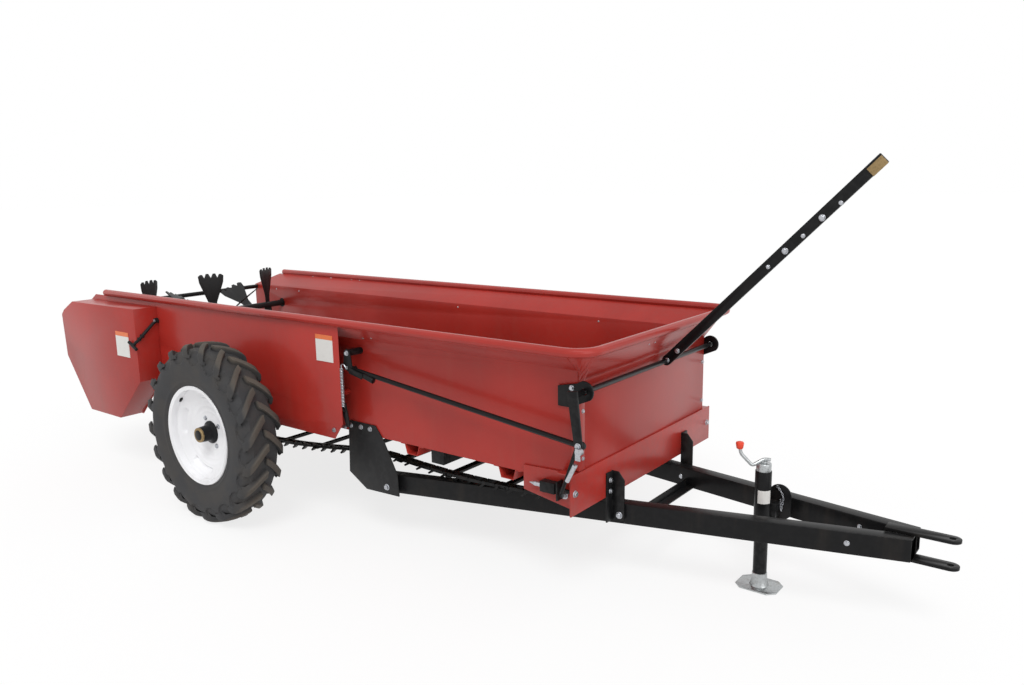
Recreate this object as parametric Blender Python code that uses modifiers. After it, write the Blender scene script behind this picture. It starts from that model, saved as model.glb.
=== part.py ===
"""Ground-driven farm manure spreader: a steel box on two wheels with a moving apron, a rear beater,
an A-frame drawbar on a swivel jack and a hand lever. Metres, +X forward, +Y left, +Z up.

Every length along X below is measured from the wheel axle; the whole machine is moved at the end so
that the origin lies on the ground under the middle of its overall box.
"""

import math

import bmesh
import bpy
from mathutils import Matrix, Vector

# ---------------------------------------------------------------- overall sizes
GAP = 0.0003                    # air left between pieces that are bolted or welded together
SHEET = 0.003                   # sheet steel of the box
BOX_HALF_WIDTH = 0.484          # centre line to the outer face of a box side
BOX_REAR = -1.36                # rear edge of the box sides
BOX_FRONT = 1.7186              # outer face of the front panel
SIDE_DEPTH = 0.398              # height of the upright part of a box side
FLARE_RISE = 0.077              # side fold to the centre of the top rail
FRONT_DROP = 0.038              # the front fold below the side fold
RAIL_RADIUS = 0.017             # rounded rail round the top of the box
RAIL_OUT = 0.089                # centre of the side rail outside the box side
RAIL_FORWARD = 0.083            # centre of the front rail ahead of the front panel
RAIL_CORNER = 0.085             # bend radius of the top rail at the front corners
RAIL_SEAT = 0.0005              # the flat underside of the rail above its round size

# ---------------------------------------------------------------- wheels
TYRE_RADIUS = 0.395
TYRE_WIDTH = 0.185
RIM_RADIUS = 0.218              # outer edge of the rim flange
RIM_HALF_WIDTH = 0.078
AXLE_RADIUS = 0.0225
HUB_RADIUS = 0.036
HUB_REACH = 0.072               # end of the axle outside the middle of a tyre
HOUSING_DEPTH = 0.064
AXLE_TO_BOX = 0.035             # axle centre line to the lower edge of the box sides
WHEEL_STEPS = 32

# ---------------------------------------------------------------- heights that follow the wheels
SIDE_BOTTOM = TYRE_RADIUS + AXLE_TO_BOX
SIDE_FOLD = SIDE_BOTTOM + SIDE_DEPTH
FRONT_FOLD = SIDE_FOLD - FRONT_DROP
RAIL_HEIGHT = SIDE_FOLD + FLARE_RISE
RAIL_REAR = BOX_REAR + 0.180

# ---------------------------------------------------------------- floor and apron
FLOOR_THICKNESS = 0.025
FLOOR_CLEARANCE = 0.0025        # under the apron chains where they run on the floor
SILL_DEPTH = 0.041              # depth of the hat-section floor sills
APRON_RADIUS = 0.0655           # chain centre line round its sprockets
APRON_SHAFT_RADIUS = 0.015
CHAIN_THICKNESS = 0.016
CHAIN_WIDTH = 0.032
CHAIN_INSET = 0.104             # box side to the middle of an apron chain
SLAT_PITCH = 0.270
SLAT_INSET = 0.059              # box side to the end of a slat
SLAT_RISE = 0.0105              # top of a slat above the chain line
APRON_FRONT = BOX_FRONT - 0.1286
APRON_REAR = BOX_REAR + 0.200
FLOOR_FRONT = APRON_FRONT - 0.090
FLOOR_REAR = APRON_REAR + 0.085
APRON_TOP = SIDE_BOTTOM + FLOOR_THICKNESS + FLOOR_CLEARANCE + CHAIN_THICKNESS / 2
APRON_SHAFT_HEIGHT = APRON_TOP - APRON_RADIUS
APRON_CHAIN_HALF_GAUGE = BOX_HALF_WIDTH - CHAIN_INSET
SLAT_HALF_LENGTH = BOX_HALF_WIDTH - SLAT_INSET
SILL_STATIONS = (("sill_front", APRON_FRONT - 0.180), ("sill_middle", APRON_FRONT - 0.655),
                 ("sill_rear", APRON_REAR + 0.670))
BEAM_X = APRON_FRONT - 0.520    # square beam across the underside of the box
BEAM_DEPTH = 0.052

# ---------------------------------------------------------------- beater
BEATER_RADIUS = 0.225
BEATER_CLEARANCE = 0.027        # paddle tips above the apron slats
BEATER_SHAFT = 0.0175
BEARING_RADIUS = 0.038
PADDLE_PITCH = 0.125
PADDLE_TURN = 60.0
PADDLE_SKEW = 65.0              # neighbours throw to opposite sides
PADDLE_COUNT = 7
BEATER_X = BOX_REAR + 0.035 + BEATER_RADIUS
BEATER_HEIGHT = APRON_TOP + SLAT_RISE + BEATER_CLEARANCE + BEATER_RADIUS
REAR_BAR_X = BOX_REAR + 0.017
REAR_BAR_HEIGHT = SIDE_FOLD - 0.014

# ---------------------------------------------------------------- guard and shield
SHIELD_STANDOFF = 0.0845        # box side to the outer face of the drive shield
GUARD_DEPTH = 0.1215            # shield face to the outer face of the chain guard
SHIELD_FRONT = 0.630
SHIELD_FACE = BOX_HALF_WIDTH + SHIELD_STANDOFF
SHIELD_BOTTOM = SIDE_BOTTOM - 0.016
GUARD_FACE = SHIELD_FACE + GUARD_DEPTH
GUARD_REAR = BOX_REAR - 0.087
GUARD_FRONT = APRON_REAR + 0.456
MAIN_CHAIN_Y = -(SHIELD_FACE - 0.0365)
APRON_CHAIN_Y = -(GUARD_FACE - 0.055)
SPROCKET_THICKNESS = 0.010
DRIVE_CHAIN_WIDTH = 0.012
MAIN_SPROCKET = 0.100           # radii of the sprockets under their chains
BEATER_SPROCKET = 0.052
APRON_SPROCKET = 0.075
BEATER_OUTER_SPROCKET = 0.045

# ---------------------------------------------------------------- track
TYRE_CLEARANCE = 0.101          # shield face to the inner wall of the right tyre
TRACK = 2 * (SHIELD_FACE + TYRE_CLEARANCE + TYRE_WIDTH / 2)
AXLE_HALF_LENGTH = TRACK / 2 + HUB_REACH

# ---------------------------------------------------------------- drawbar
TUBE_HEIGHT = 0.0762
TUBE_WIDTH = 0.0508
TUBE_WALL = 0.005
TUBE_REAR_X = 0.760             # rear end of each rail
TUBE_REAR_Y = BOX_HALF_WIDTH    # outer face of each rail at its rear end
TUBE_REAR_TOP = APRON_SHAFT_HEIGHT - APRON_RADIUS - 0.0585
TUBE_FRONT_X = BOX_FRONT + 0.9614
TUBE_FRONT_Y = 0.062
TUBE_FRONT_TOP = 0.3253         # set by the height of a tractor's drawbar
STRAP_REAR = TUBE_FRONT_X - 0.090
STRAP_TIP = TUBE_FRONT_X + 0.130
STRAP_HALF_WIDTH = 0.027
STRAP_THICKNESS = 0.0095
STRAP_HOLE_X = STRAP_TIP - STRAP_HALF_WIDTH
STRAP_HOLE_RADIUS = 0.010
BRACKET_THICKNESS = 0.006
STRUT_X = BOX_FRONT + 0.0814
STRUT_HALF = 0.019

# ---------------------------------------------------------------- jack
JACK_X = TUBE_FRONT_X - 0.504
JACK_PIVOT_X = JACK_X + 0.020
JACK_PIVOT_Y = 0.055
JACK_TUBE_RADIUS = 0.0286
JACK_TUBE_RISE = 0.146          # top of the tube above the swivel
JACK_TUBE_DROP = 0.070          # foot of the tube below the swivel
JACK_LEG_RADIUS = 0.0240
JACK_LEG_HIDDEN = 0.052         # length of the leg inside the tube
JACK_FOOT_THICKNESS = 0.005
SWIVEL_DROP = 0.02487           # swivel pin below the top of the rails
SWIVEL_RADIUS = 0.030
ARCH_RADIUS = 0.046

# ---------------------------------------------------------------- hand lever and its linkage
SHAFT_X = BOX_FRONT + 0.0254
SHAFT_HEIGHT = FRONT_FOLD - 0.029
SHAFT_RADIUS = 0.0095
SHAFT_PLATE_RADIUS = 0.036
LEVER_Y = 0.096
LEVER_LENGTH = 1.048
LEVER_ANGLE = 44.9
LEVER_DEPTH = 0.038
LEVER_THICKNESS = 0.012
CRANK_Y = -(BOX_HALF_WIDTH + 0.074)
CRANK_FOOT_X = SHAFT_X + 0.022
CRANK_FOOT_HEIGHT = SHAFT_HEIGHT - 0.169
CRANK_THICKNESS = 0.010
PIN_GAP = 0.0008                # air at the side of each pinned joint
EYE_RADIUS = 0.014
ROD_RADIUS = 0.0095
LINK_RADIUS = 0.0065
LINK_FOOT_X = CRANK_FOOT_X - 0.060
LINK_FOOT_HEIGHT = CRANK_FOOT_HEIGHT - 0.167
BELL_X = SHIELD_FRONT + 0.038
BELL_HEIGHT = SIDE_FOLD - 0.045
BELL_PIN_X = BELL_X + 0.018
BELL_PIN_HEIGHT = BELL_HEIGHT - 0.067
BELL_THICKNESS = 0.005

RIGHT = -1
LEFT = 1


# ================================================================ helpers
def clear_file():
    for thing in list(bpy.data.objects):
        bpy.data.objects.remove(thing, do_unlink=True)


def collection(name):
    group = bpy.data.collections.new(name)
    bpy.context.scene.collection.children.link(group)
    return group


def material(name, colour, roughness, metallic):
    made = bpy.data.materials.new(name)
    made.use_nodes = True
    shader = made.node_tree.nodes["Principled BSDF"]
    shader.inputs["Base Color"].default_value = (*colour, 1.0)
    shader.inputs["Roughness"].default_value = roughness
    shader.inputs["Metallic"].default_value = metallic
    return made


FINISHES = {
    "red_paint": ((0.33, 0.035, 0.025), 0.4, 0.0),
    "black_paint": ((0.015, 0.015, 0.016), 0.35, 0.0),
    "white_paint": ((0.75, 0.75, 0.73), 0.4, 0.0),
    "rubber": ((0.02, 0.019, 0.018), 0.85, 0.0),
    "plastic": ((0.03, 0.03, 0.032), 0.6, 0.0),
    "zinc": ((0.55, 0.56, 0.57), 0.35, 1.0),
    "bare_steel": ((0.25, 0.24, 0.23), 0.45, 1.0),
}


def link(name, mesh):
    thing = bpy.data.objects.new(name, mesh)
    PARTS.objects.link(thing)
    return thing


def finish(thing, look):
    colour, roughness, metallic = FINISHES[look]
    thing.data.materials.clear()
    thing.data.materials.append(material(thing.name + "_" + look, colour, roughness, metallic))
    return thing


def tidy_mesh(mesh):
    work = bmesh.new()
    work.from_mesh(mesh)
    bmesh.ops.remove_doubles(work, verts=work.verts, dist=0.00001)
    bmesh.ops.recalc_face_normals(work, faces=work.faces)
    work.to_mesh(mesh)
    work.free()
    return mesh


def box(name, low, high):
    work = bmesh.new()
    bmesh.ops.create_cube(work, size=1.0)
    size = Vector(high) - Vector(low)
    middle = (Vector(high) + Vector(low)) / 2
    bmesh.ops.transform(work, matrix=Matrix.LocRotScale(middle, None, size), verts=work.verts)
    mesh = bpy.data.meshes.new(name)
    work.to_mesh(mesh)
    work.free()
    return link(name, tidy_mesh(mesh))


def cylinder(name, radius, start, end, segments=24):
    start, end = Vector(start), Vector(end)
    work = bmesh.new()
    length = (end - start).length
    bmesh.ops.create_cone(work, cap_ends=True, segments=segments, radius1=radius, radius2=radius, depth=length)
    turn = (end - start).to_track_quat("Z", "Y")
    bmesh.ops.transform(work, matrix=Matrix.LocRotScale((start + end) / 2, turn, None), verts=work.verts)
    mesh = bpy.data.meshes.new(name)
    work.to_mesh(mesh)
    work.free()
    return link(name, tidy_mesh(mesh))


def as_mesh(curve_object):
    bpy.context.view_layer.update()
    graph = bpy.context.evaluated_depsgraph_get()
    mesh = bpy.data.meshes.new_from_object(curve_object.evaluated_get(graph))
    mesh.transform(curve_object.matrix_world)
    name = curve_object.name
    bpy.data.objects.remove(curve_object, do_unlink=True)
    return link(name, tidy_mesh(mesh))


AXES = {"X": (1, 2), "Y": (0, 2), "Z": (0, 1)}


def prism(name, outline, along, low, high, holes=()):
    """A flat outline with holes, pulled from low to high along one axis."""
    curve = bpy.data.curves.new(name, "CURVE")
    curve.dimensions = "2D"
    curve.fill_mode = "BOTH"
    curve.extrude = (high - low) / 2
    for loop in (outline, *holes):
        spline = curve.splines.new("POLY")
        spline.points.add(len(loop) - 1)
        for point, (a, b) in zip(spline.points, loop):
            point.co = (a, b, 0.0, 1.0)
        spline.use_cyclic_u = True
    thing = bpy.data.objects.new(name, curve)
    PARTS.objects.link(thing)
    first, second = AXES[along]
    third = 3 - first - second
    turn = Matrix.Identity(4)
    for row in range(3):
        turn[row][0] = 1.0 if row == first else 0.0
        turn[row][1] = 1.0 if row == second else 0.0
        turn[row][2] = 1.0 if row == third else 0.0
    turn[third][3] = (low + high) / 2
    thing.matrix_world = turn
    return as_mesh(thing)


def circle(a, b, radius, count=20):
    steps = [2 * math.pi * n / count for n in range(count)]
    return [(a + radius * math.cos(t), b + radius * math.sin(t)) for t in steps]


def strip(line, thickness):
    """The closed outline of a bent sheet whose middle follows a line of points."""
    half = thickness / 2
    normals = []
    for (a, b), (c, d) in zip(line, line[1:]):
        length = math.hypot(c - a, d - b)
        normals.append(((b - d) / length, (c - a) / length))
    upper, lower = [], []
    for n, (a, b) in enumerate(line):
        before = normals[max(n - 1, 0)]
        after = normals[min(n, len(normals) - 1)]
        u, v = before[0] + after[0], before[1] + after[1]
        scale = half / ((u * after[0] + v * after[1]) or 1.0)
        upper.append((a + u * scale, b + v * scale))
        lower.append((a - u * scale, b - v * scale))
    return upper + lower[::-1]


def pipe(name, path, radius, sides=3):
    """A round bar bent along a line of points."""
    curve = bpy.data.curves.new(name, "CURVE")
    curve.dimensions = "3D"
    curve.bevel_depth = radius
    curve.bevel_resolution = sides
    curve.use_fill_caps = True
    spline = curve.splines.new("POLY")
    spline.points.add(len(path) - 1)
    for point, place in zip(spline.points, path):
        point.co = (*place, 1.0)
    thing = bpy.data.objects.new(name, curve)
    PARTS.objects.link(thing)
    return as_mesh(thing)


def turned(name, profile, y, side, steps=40, x=0.0, z=0.0):
    """A ring turned about a line along Y from (radius, outward offset) points."""
    mesh = bpy.data.meshes.new(name)
    points = [(radius, 0.0, offset) for radius, offset in profile]
    edges = [(n, (n + 1) % len(points)) for n in range(len(points))]
    mesh.from_pydata(points, edges, [])
    thing = link(name, mesh)
    screw = thing.modifiers.new("Turn", "SCREW")
    screw.axis = "Z"
    screw.steps = steps
    screw.render_steps = steps
    screw.use_merge_vertices = True
    screw.merge_threshold = 0.0001
    bpy.context.view_layer.update()
    graph = bpy.context.evaluated_depsgraph_get()
    made = bpy.data.meshes.new_from_object(thing.evaluated_get(graph))
    made.transform(Matrix.Translation((x, y, z)) @ Matrix.Rotation(math.radians(-90 * side), 4, "X"))
    bpy.data.objects.remove(thing, do_unlink=True)
    return link(name, tidy_mesh(made))


def combine(thing, others, operation):
    for other in others:
        PARTS.objects.unlink(other)
        CUTTERS.objects.link(other)
        other.hide_render = True
        other.display_type = "WIRE"
        other.name = thing.name + "_tool_" + other.name
        step = thing.modifiers.new(operation.title(), "BOOLEAN")
        step.operation = operation
        step.solver = "EXACT"
        step.object = other
    return thing


def cut(thing, *others):
    return combine(thing, others, "DIFFERENCE")


def weld(thing, *others):
    return combine(thing, others, "UNION")


def origin_at(thing, place):
    thing.data.transform(Matrix.Translation(-Vector(place)))
    thing.location = Vector(place)
    return thing


# ================================================================ the box
def rail_centre():
    """Middle of the top rail beside the box and ahead of it."""
    return BOX_HALF_WIDTH + RAIL_OUT, BOX_FRONT + RAIL_FORWARD


def flare_end(fold_a, fold_b, rail_a, rail_b):
    """Where the flare sheet stops against the top rail."""
    run, rise = rail_a - fold_a, rail_b - fold_b
    length = math.hypot(run, rise)
    keep = 1 - (RAIL_RADIUS + GAP) / length
    return fold_a + run * keep, fold_b + rise * keep


def box_side(name, side):
    rail_y, rail_x = rail_centre()
    middle = BOX_HALF_WIDTH - SHEET / 2
    end_y, end_z = flare_end(middle, SIDE_FOLD, rail_y, RAIL_HEIGHT)
    line = [(side * middle, SIDE_BOTTOM), (side * middle, SIDE_FOLD), (side * end_y, end_z)]
    panel = prism(name, strip(line, SHEET), "X", BOX_REAR, BOX_FRONT - SHEET - GAP)
    slope = (RAIL_HEIGHT - SIDE_FOLD) / (RAIL_REAR - BOX_REAR)
    high_x = RAIL_REAR + 0.10
    high_z = SIDE_FOLD + slope * (high_x - BOX_REAR)
    corner = [(BOX_REAR - 0.02, SIDE_FOLD + 0.001), (BOX_REAR, SIDE_FOLD + 0.001), (high_x, high_z),
              (high_x, 1.0), (BOX_REAR - 0.02, 1.0)]
    cut(panel, prism("corner", corner, "Y", -0.7, 0.7))
    hole = cylinder("beater_hole", BEATER_SHAFT + 0.010, (BEATER_X, side * 0.40, BEATER_HEIGHT),
                    (BEATER_X, side * 0.60, BEATER_HEIGHT))
    cut(panel, hole)
    if side == RIGHT:
        end = CRANK_Y + BELL_THICKNESS / 2 + PIN_GAP
        weld(panel, cylinder("boss", 0.012, (BELL_X, -middle, BELL_HEIGHT), (BELL_X, end, BELL_HEIGHT), 16))
    return finish(panel, "red_paint")


def front_columns():
    """Pairs of points, on the fold and at the top rail, right round the front of the box."""
    rail_y, rail_x = rail_centre()
    middle_x = BOX_FRONT - SHEET / 2
    middle_y = BOX_HALF_WIDTH - SHEET / 2
    centre_x, centre_y = rail_x - RAIL_CORNER, rail_y - RAIL_CORNER
    columns = []
    count = 6
    for n in range(count + 1):
        angle = math.radians(90 * n / count)
        low = Vector((middle_x, middle_y, SIDE_FOLD + (FRONT_FOLD - SIDE_FOLD) * n / count))
        top = Vector((max(centre_x + RAIL_CORNER * math.sin(angle), BOX_FRONT), 0, RAIL_HEIGHT))
        top.y = centre_y + RAIL_CORNER * math.cos(angle)
        reach = top - low
        top -= reach.normalized() * (RAIL_RADIUS + 0.0008)
        columns.append((low, top))
    mirrored = [(Vector((a.x, -a.y, a.z)), Vector((b.x, -b.y, b.z))) for a, b in reversed(columns)]
    return columns, mirrored


def box_front():
    left, right = front_columns()
    work = bmesh.new()
    rows = []
    for low, high in left + right:
        rows.append((work.verts.new(low), work.verts.new(high)))
    for (a, b), (c, d) in zip(rows, rows[1:]):
        work.faces.new((a, b, d, c))
    inner = rows[len(left) - 1][0], rows[len(left)][0]
    feet = [work.verts.new((v.co.x, v.co.y, SIDE_BOTTOM)) for v in inner]
    work.faces.new((inner[0], inner[1], feet[1], feet[0]))
    bmesh.ops.recalc_face_normals(work, faces=work.faces)
    mesh = bpy.data.meshes.new("box_front")
    work.to_mesh(mesh)
    work.free()
    front = link("box_front", mesh)
    solid = front.modifiers.new("Sheet", "SOLIDIFY")
    solid.thickness = SHEET
    solid.offset = 0.0
    solid.use_even_offset = True
    return finish(front, "red_paint")


def top_rail():
    rail_y, rail_x = rail_centre()
    path = [(RAIL_REAR, rail_y, RAIL_HEIGHT)]
    for side in (LEFT, RIGHT):
        angles = range(0, 91, 15) if side == LEFT else range(90, -1, -15)
        for degrees in angles:
            angle = math.radians(degrees)
            path.append((rail_x - RAIL_CORNER + RAIL_CORNER * math.sin(angle),
                         side * (rail_y - RAIL_CORNER + RAIL_CORNER * math.cos(angle)), RAIL_HEIGHT))
    path.append((RAIL_REAR, -rail_y, RAIL_HEIGHT))
    return finish(pipe("top_rail", path, RAIL_RADIUS, 3), "red_paint")


def floor():
    inside = BOX_HALF_WIDTH - SHEET - GAP
    top = SIDE_BOTTOM + FLOOR_THICKNESS
    planks = box("floor", (FLOOR_REAR, -inside, SIDE_BOTTOM), (FLOOR_FRONT, inside, top))
    return finish(planks, "plastic")


def sills():
    top = SIDE_BOTTOM - GAP - SHEET / 2
    foot = top - SILL_DEPTH + SHEET
    for name, x in SILL_STATIONS:
        line = [(x - 0.062, top), (x - 0.038, top), (x - 0.027, foot), (x + 0.027, foot), (x + 0.038, top),
                (x + 0.062, top)]
        finish(prism(name, strip(line, SHEET), "Y", -BOX_HALF_WIDTH, BOX_HALF_WIDTH), "red_paint")


# ================================================================ front channel with its take-up plates
CHANNEL_HALF = BOX_HALF_WIDTH + 0.057
CHANNEL_BOTTOM = SIDE_BOTTOM - 0.096
CHANNEL_TOP = SIDE_BOTTOM + 0.0475
CHANNEL_THICKNESS = 0.005
TAKE_UP_REAR = APRON_FRONT - 0.100
TAKE_UP_THICKNESS = 0.0062


def front_channel():
    back = BOX_FRONT + GAP
    front = back + CHANNEL_THICKNESS
    face = prism("front_channel", [(back, CHANNEL_BOTTOM), (front, CHANNEL_BOTTOM), (front, CHANNEL_TOP),
                                   (back, CHANNEL_TOP)], "Y", -CHANNEL_HALF, CHANNEL_HALF)
    for side in (RIGHT, LEFT):
        seat = BOX_HALF_WIDTH + GAP
        inner, outer = sorted((side * seat, side * (seat + TAKE_UP_THICKNESS)))
        outline = [(TAKE_UP_REAR, SIDE_BOTTOM - 0.059), (back + 0.002, CHANNEL_BOTTOM),
                   (back + 0.002, CHANNEL_TOP - 0.0075), (TAKE_UP_REAR, SIDE_BOTTOM + 0.031)]
        hole = circle(APRON_FRONT, APRON_SHAFT_HEIGHT, APRON_SHAFT_RADIUS + 0.001, 16)
        plate = prism("take_up", outline, "Y", inner, outer, (hole,))
        near, far = sorted((side * (BOX_HALF_WIDTH + 0.003), side * (CHANNEL_HALF - 0.012)))
        flange = box("flange", (BOX_FRONT - 0.060, near, CHANNEL_TOP - 0.005), (back + 0.002, far, CHANNEL_TOP))
        weld(face, plate, flange)
    return finish(face, "red_paint")


# ================================================================ shield and guard over the drive chains
def guard_outline():
    waist = APRON_SHAFT_HEIGHT + 0.162
    foot = APRON_SHAFT_HEIGHT - 0.110
    return [(GUARD_REAR + 0.130, RAIL_HEIGHT - 0.043), (GUARD_REAR + 0.029, RAIL_HEIGHT - 0.094),
            (GUARD_REAR, RAIL_HEIGHT - 0.120), (GUARD_REAR + 0.013, waist), (APRON_REAR - 0.072, foot),
            (APRON_REAR + 0.227, foot), (GUARD_FRONT, waist - 0.054), (GUARD_FRONT, RAIL_HEIGHT - 0.037)]


def outer_shield():
    top = RAIL_HEIGHT - RAIL_RADIUS + RAIL_SEAT
    foot = APRON_SHAFT_HEIGHT - 0.115
    outline = [(GUARD_REAR + 0.147, top), (GUARD_REAR + 0.035, RAIL_HEIGHT - 0.083),
               (GUARD_REAR + 0.007, RAIL_HEIGHT - 0.115), (GUARD_REAR + 0.019, APRON_SHAFT_HEIGHT + 0.162),
               (APRON_REAR - 0.068, foot), (APRON_REAR + 0.230, foot), (APRON_REAR + 0.360, SHIELD_BOTTOM),
               (SHIELD_FRONT - 0.052, SHIELD_BOTTOM), (SHIELD_FRONT, SIDE_BOTTOM + 0.055), (SHIELD_FRONT, top)]
    holes = (circle(BEATER_X, BEATER_HEIGHT, BEATER_SHAFT + 0.008),
             circle(APRON_REAR, APRON_SHAFT_HEIGHT, APRON_SHAFT_RADIUS + 0.007))
    low, high = -SHIELD_FACE, -SHIELD_FACE + SHEET
    shield = prism("outer_shield", outline, "Y", low, high, holes)
    notch = cylinder("notch", AXLE_RADIUS + 0.008, (0, low - 0.01, TYRE_RADIUS), (0, high + 0.01, TYRE_RADIUS), 20)
    cut(shield, notch)
    posts = ((SHIELD_FRONT - 0.050, SIDE_BOTTOM + 0.170), (SHIELD_FRONT - 1.030, SIDE_FOLD - 0.048),
             (SHIELD_FRONT - 1.250, SIDE_BOTTOM + 0.040), (BOX_REAR + 0.060, SIDE_FOLD - 0.128))
    for x, z in posts:
        post = cylinder("post", 0.012, (x, high - 0.001, z), (x, -BOX_HALF_WIDTH - GAP, z), 12)
        weld(shield, post)
    return finish(shield, "red_paint")


def chain_guard():
    outline = guard_outline()
    low, high = -GUARD_FACE, -SHIELD_FACE - GAP
    cover = prism("chain_guard", outline, "Y", low, high)
    centre_x = sum(a for a, b in outline) / len(outline)
    centre_z = sum(b for a, b in outline) / len(outline)
    inner = [(centre_x + (a - centre_x) * 0.985, centre_z + (b - centre_z) * 0.985) for a, b in outline]
    cut(cover, prism("hollow", inner, "Y", low + SHEET, high + 0.01))
    hinge = (GUARD_REAR - 0.0070, high - 0.0070)
    foot = APRON_SHAFT_HEIGHT + 0.200
    head = RAIL_HEIGHT - 0.145
    knuckle = cylinder("knuckle", 0.006, (hinge[0], hinge[1], foot), (hinge[0], hinge[1], head), 12)
    leaf = box("leaf", (hinge[0], hinge[1] - 0.003, foot + 0.002),
               (GUARD_REAR + 0.012, hinge[1] + 0.003, head - 0.002))
    weld(cover, leaf, knuckle)
    return origin_at(finish(cover, "red_paint"), (hinge[0], hinge[1], (foot + head) / 2))


# ================================================================ drawbar
def rail_outer_y(x):
    share = (x - TUBE_REAR_X) / (TUBE_FRONT_X - TUBE_REAR_X)
    return TUBE_REAR_Y + (TUBE_FRONT_Y - TUBE_REAR_Y) * share


def rail_inner_y(x, side):
    lean = math.atan2(TUBE_REAR_Y - TUBE_FRONT_Y, TUBE_FRONT_X - TUBE_REAR_X)
    return side * (rail_outer_y(x) - TUBE_WIDTH / math.cos(lean))


def rail_top(x):
    share = (x - TUBE_REAR_X) / (TUBE_FRONT_X - TUBE_REAR_X)
    return TUBE_REAR_TOP + (TUBE_FRONT_TOP - TUBE_REAR_TOP) * share


def rail_tube(name, side):
    """A rectangular tube whose ends are cut square to the machine."""
    work = bmesh.new()
    rings = []
    for inset in (0.0, TUBE_WALL):
        ring = []
        for x in (TUBE_REAR_X, TUBE_FRONT_X):
            share = (x - TUBE_REAR_X) / (TUBE_FRONT_X - TUBE_REAR_X)
            outer = TUBE_REAR_Y + (TUBE_FRONT_Y - TUBE_REAR_Y) * share - inset
            inner = abs(rail_inner_y(x, side)) + inset
            top = rail_top(x) - inset
            foot = rail_top(x) - TUBE_HEIGHT + inset
            ring.append([work.verts.new((x, side * y, z)) for y, z in
                         ((outer, foot), (outer, top), (inner, top), (inner, foot))])
        rings.append(ring)
    outside, inside = rings
    for n in range(4):
        m = (n + 1) % 4
        work.faces.new((outside[0][n], outside[0][m], outside[1][m], outside[1][n]))
        work.faces.new((inside[0][n], inside[1][n], inside[1][m], inside[0][m]))
        for end in (0, 1):
            work.faces.new((outside[end][n], inside[end][n], inside[end][m], outside[end][m]))
    mesh = bpy.data.meshes.new(name)
    work.to_mesh(mesh)
    work.free()
    tube = link(name, tidy_mesh(mesh))
    tube = finish(tube, "black_paint")
    return tube


def gusset(name, side):
    x, box_foot, tube_top = TUBE_REAR_X, SIDE_BOTTOM, TUBE_REAR_TOP
    outline = [(x - 0.175, box_foot + 0.047), (x - 0.025, box_foot + 0.046), (x + 0.018, box_foot - 0.006),
               (x + 0.090, tube_top + 0.014), (x + 0.096, tube_top - 0.078), (x - 0.092, tube_top - 0.085),
               (x - 0.193, tube_top - 0.026), (x - 0.185, box_foot + 0.002)]
    inner = BOX_HALF_WIDTH + GAP
    low, high = sorted((side * inner, side * (inner + BRACKET_THICKNESS)))
    plate = prism(name, outline, "Y", low, high)
    return finish(plate, "black_paint")


def channel_bracket(name, side):
    back = BOX_FRONT + GAP + CHANNEL_THICKNESS + GAP
    front = back + BRACKET_THICKNESS
    outer = rail_outer_y(back) + GAP
    outline = [(back, side * outer), (back + 0.052, side * outer), (back + 0.052, side * (outer + BRACKET_THICKNESS)),
               (front, side * (outer + BRACKET_THICKNESS)), (front, side * (outer + 0.046)),
               (back, side * (outer + 0.046))]
    foot = rail_top(back) - TUBE_HEIGHT + 0.015
    return finish(prism(name, outline, "Z", foot, CHANNEL_TOP - 0.0525), "black_paint")


def frame_strut():
    rear, front = STRUT_X - STRUT_HALF, STRUT_X + STRUT_HALF
    top = min(rail_top(rear), rail_top(front)) - TUBE_HEIGHT - GAP
    half = abs(rail_inner_y(STRUT_X, LEFT)) + TUBE_WIDTH
    return finish(box("frame_strut", (rear, -half, top - STRUT_HALF), (front, half, top)), "black_paint")


def cross_beam():
    top = SIDE_BOTTOM - GAP
    beam = box("cross_beam", (BEAM_X - 0.032, -BOX_HALF_WIDTH, top - BEAM_DEPTH),
               (BEAM_X + 0.032, BOX_HALF_WIDTH, top))
    return finish(beam, "black_paint")


def hitch_strap(name, low):
    outline = [(STRAP_REAR, -STRAP_HALF_WIDTH), (STRAP_TIP - STRAP_HALF_WIDTH, -STRAP_HALF_WIDTH)]
    for degrees in range(-75, 90, 15):
        angle = math.radians(degrees)
        outline.append((STRAP_TIP - STRAP_HALF_WIDTH + STRAP_HALF_WIDTH * math.cos(angle),
                        STRAP_HALF_WIDTH * math.sin(angle)))
    outline += [(STRAP_TIP - STRAP_HALF_WIDTH, STRAP_HALF_WIDTH), (STRAP_REAR, STRAP_HALF_WIDTH)]
    hole = circle(STRAP_HOLE_X, 0.0, STRAP_HOLE_RADIUS, 24)
    return finish(prism(name, outline, "Z", low, low + STRAP_THICKNESS, (hole,)), "black_paint")


# ================================================================ axle and wheels
def axle():
    half = BOX_HALF_WIDTH + 0.012
    top = SIDE_BOTTOM - GAP
    housing = box("axle", (-HOUSING_DEPTH / 2, -half, top - HOUSING_DEPTH), (HOUSING_DEPTH / 2, half, top))
    shaft = cylinder("shaft", AXLE_RADIUS, (0, -AXLE_HALF_LENGTH, TYRE_RADIUS),
                     (0, AXLE_HALF_LENGTH, TYRE_RADIUS), 24)
    near, far = MAIN_CHAIN_Y - SPROCKET_THICKNESS / 2, MAIN_CHAIN_Y + SPROCKET_THICKNESS / 2
    sprocket = cylinder("sprocket", MAIN_SPROCKET, (0, near, TYRE_RADIUS), (0, far, TYRE_RADIUS), 32)
    return finish(weld(housing, shaft, sprocket), "black_paint")


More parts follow.
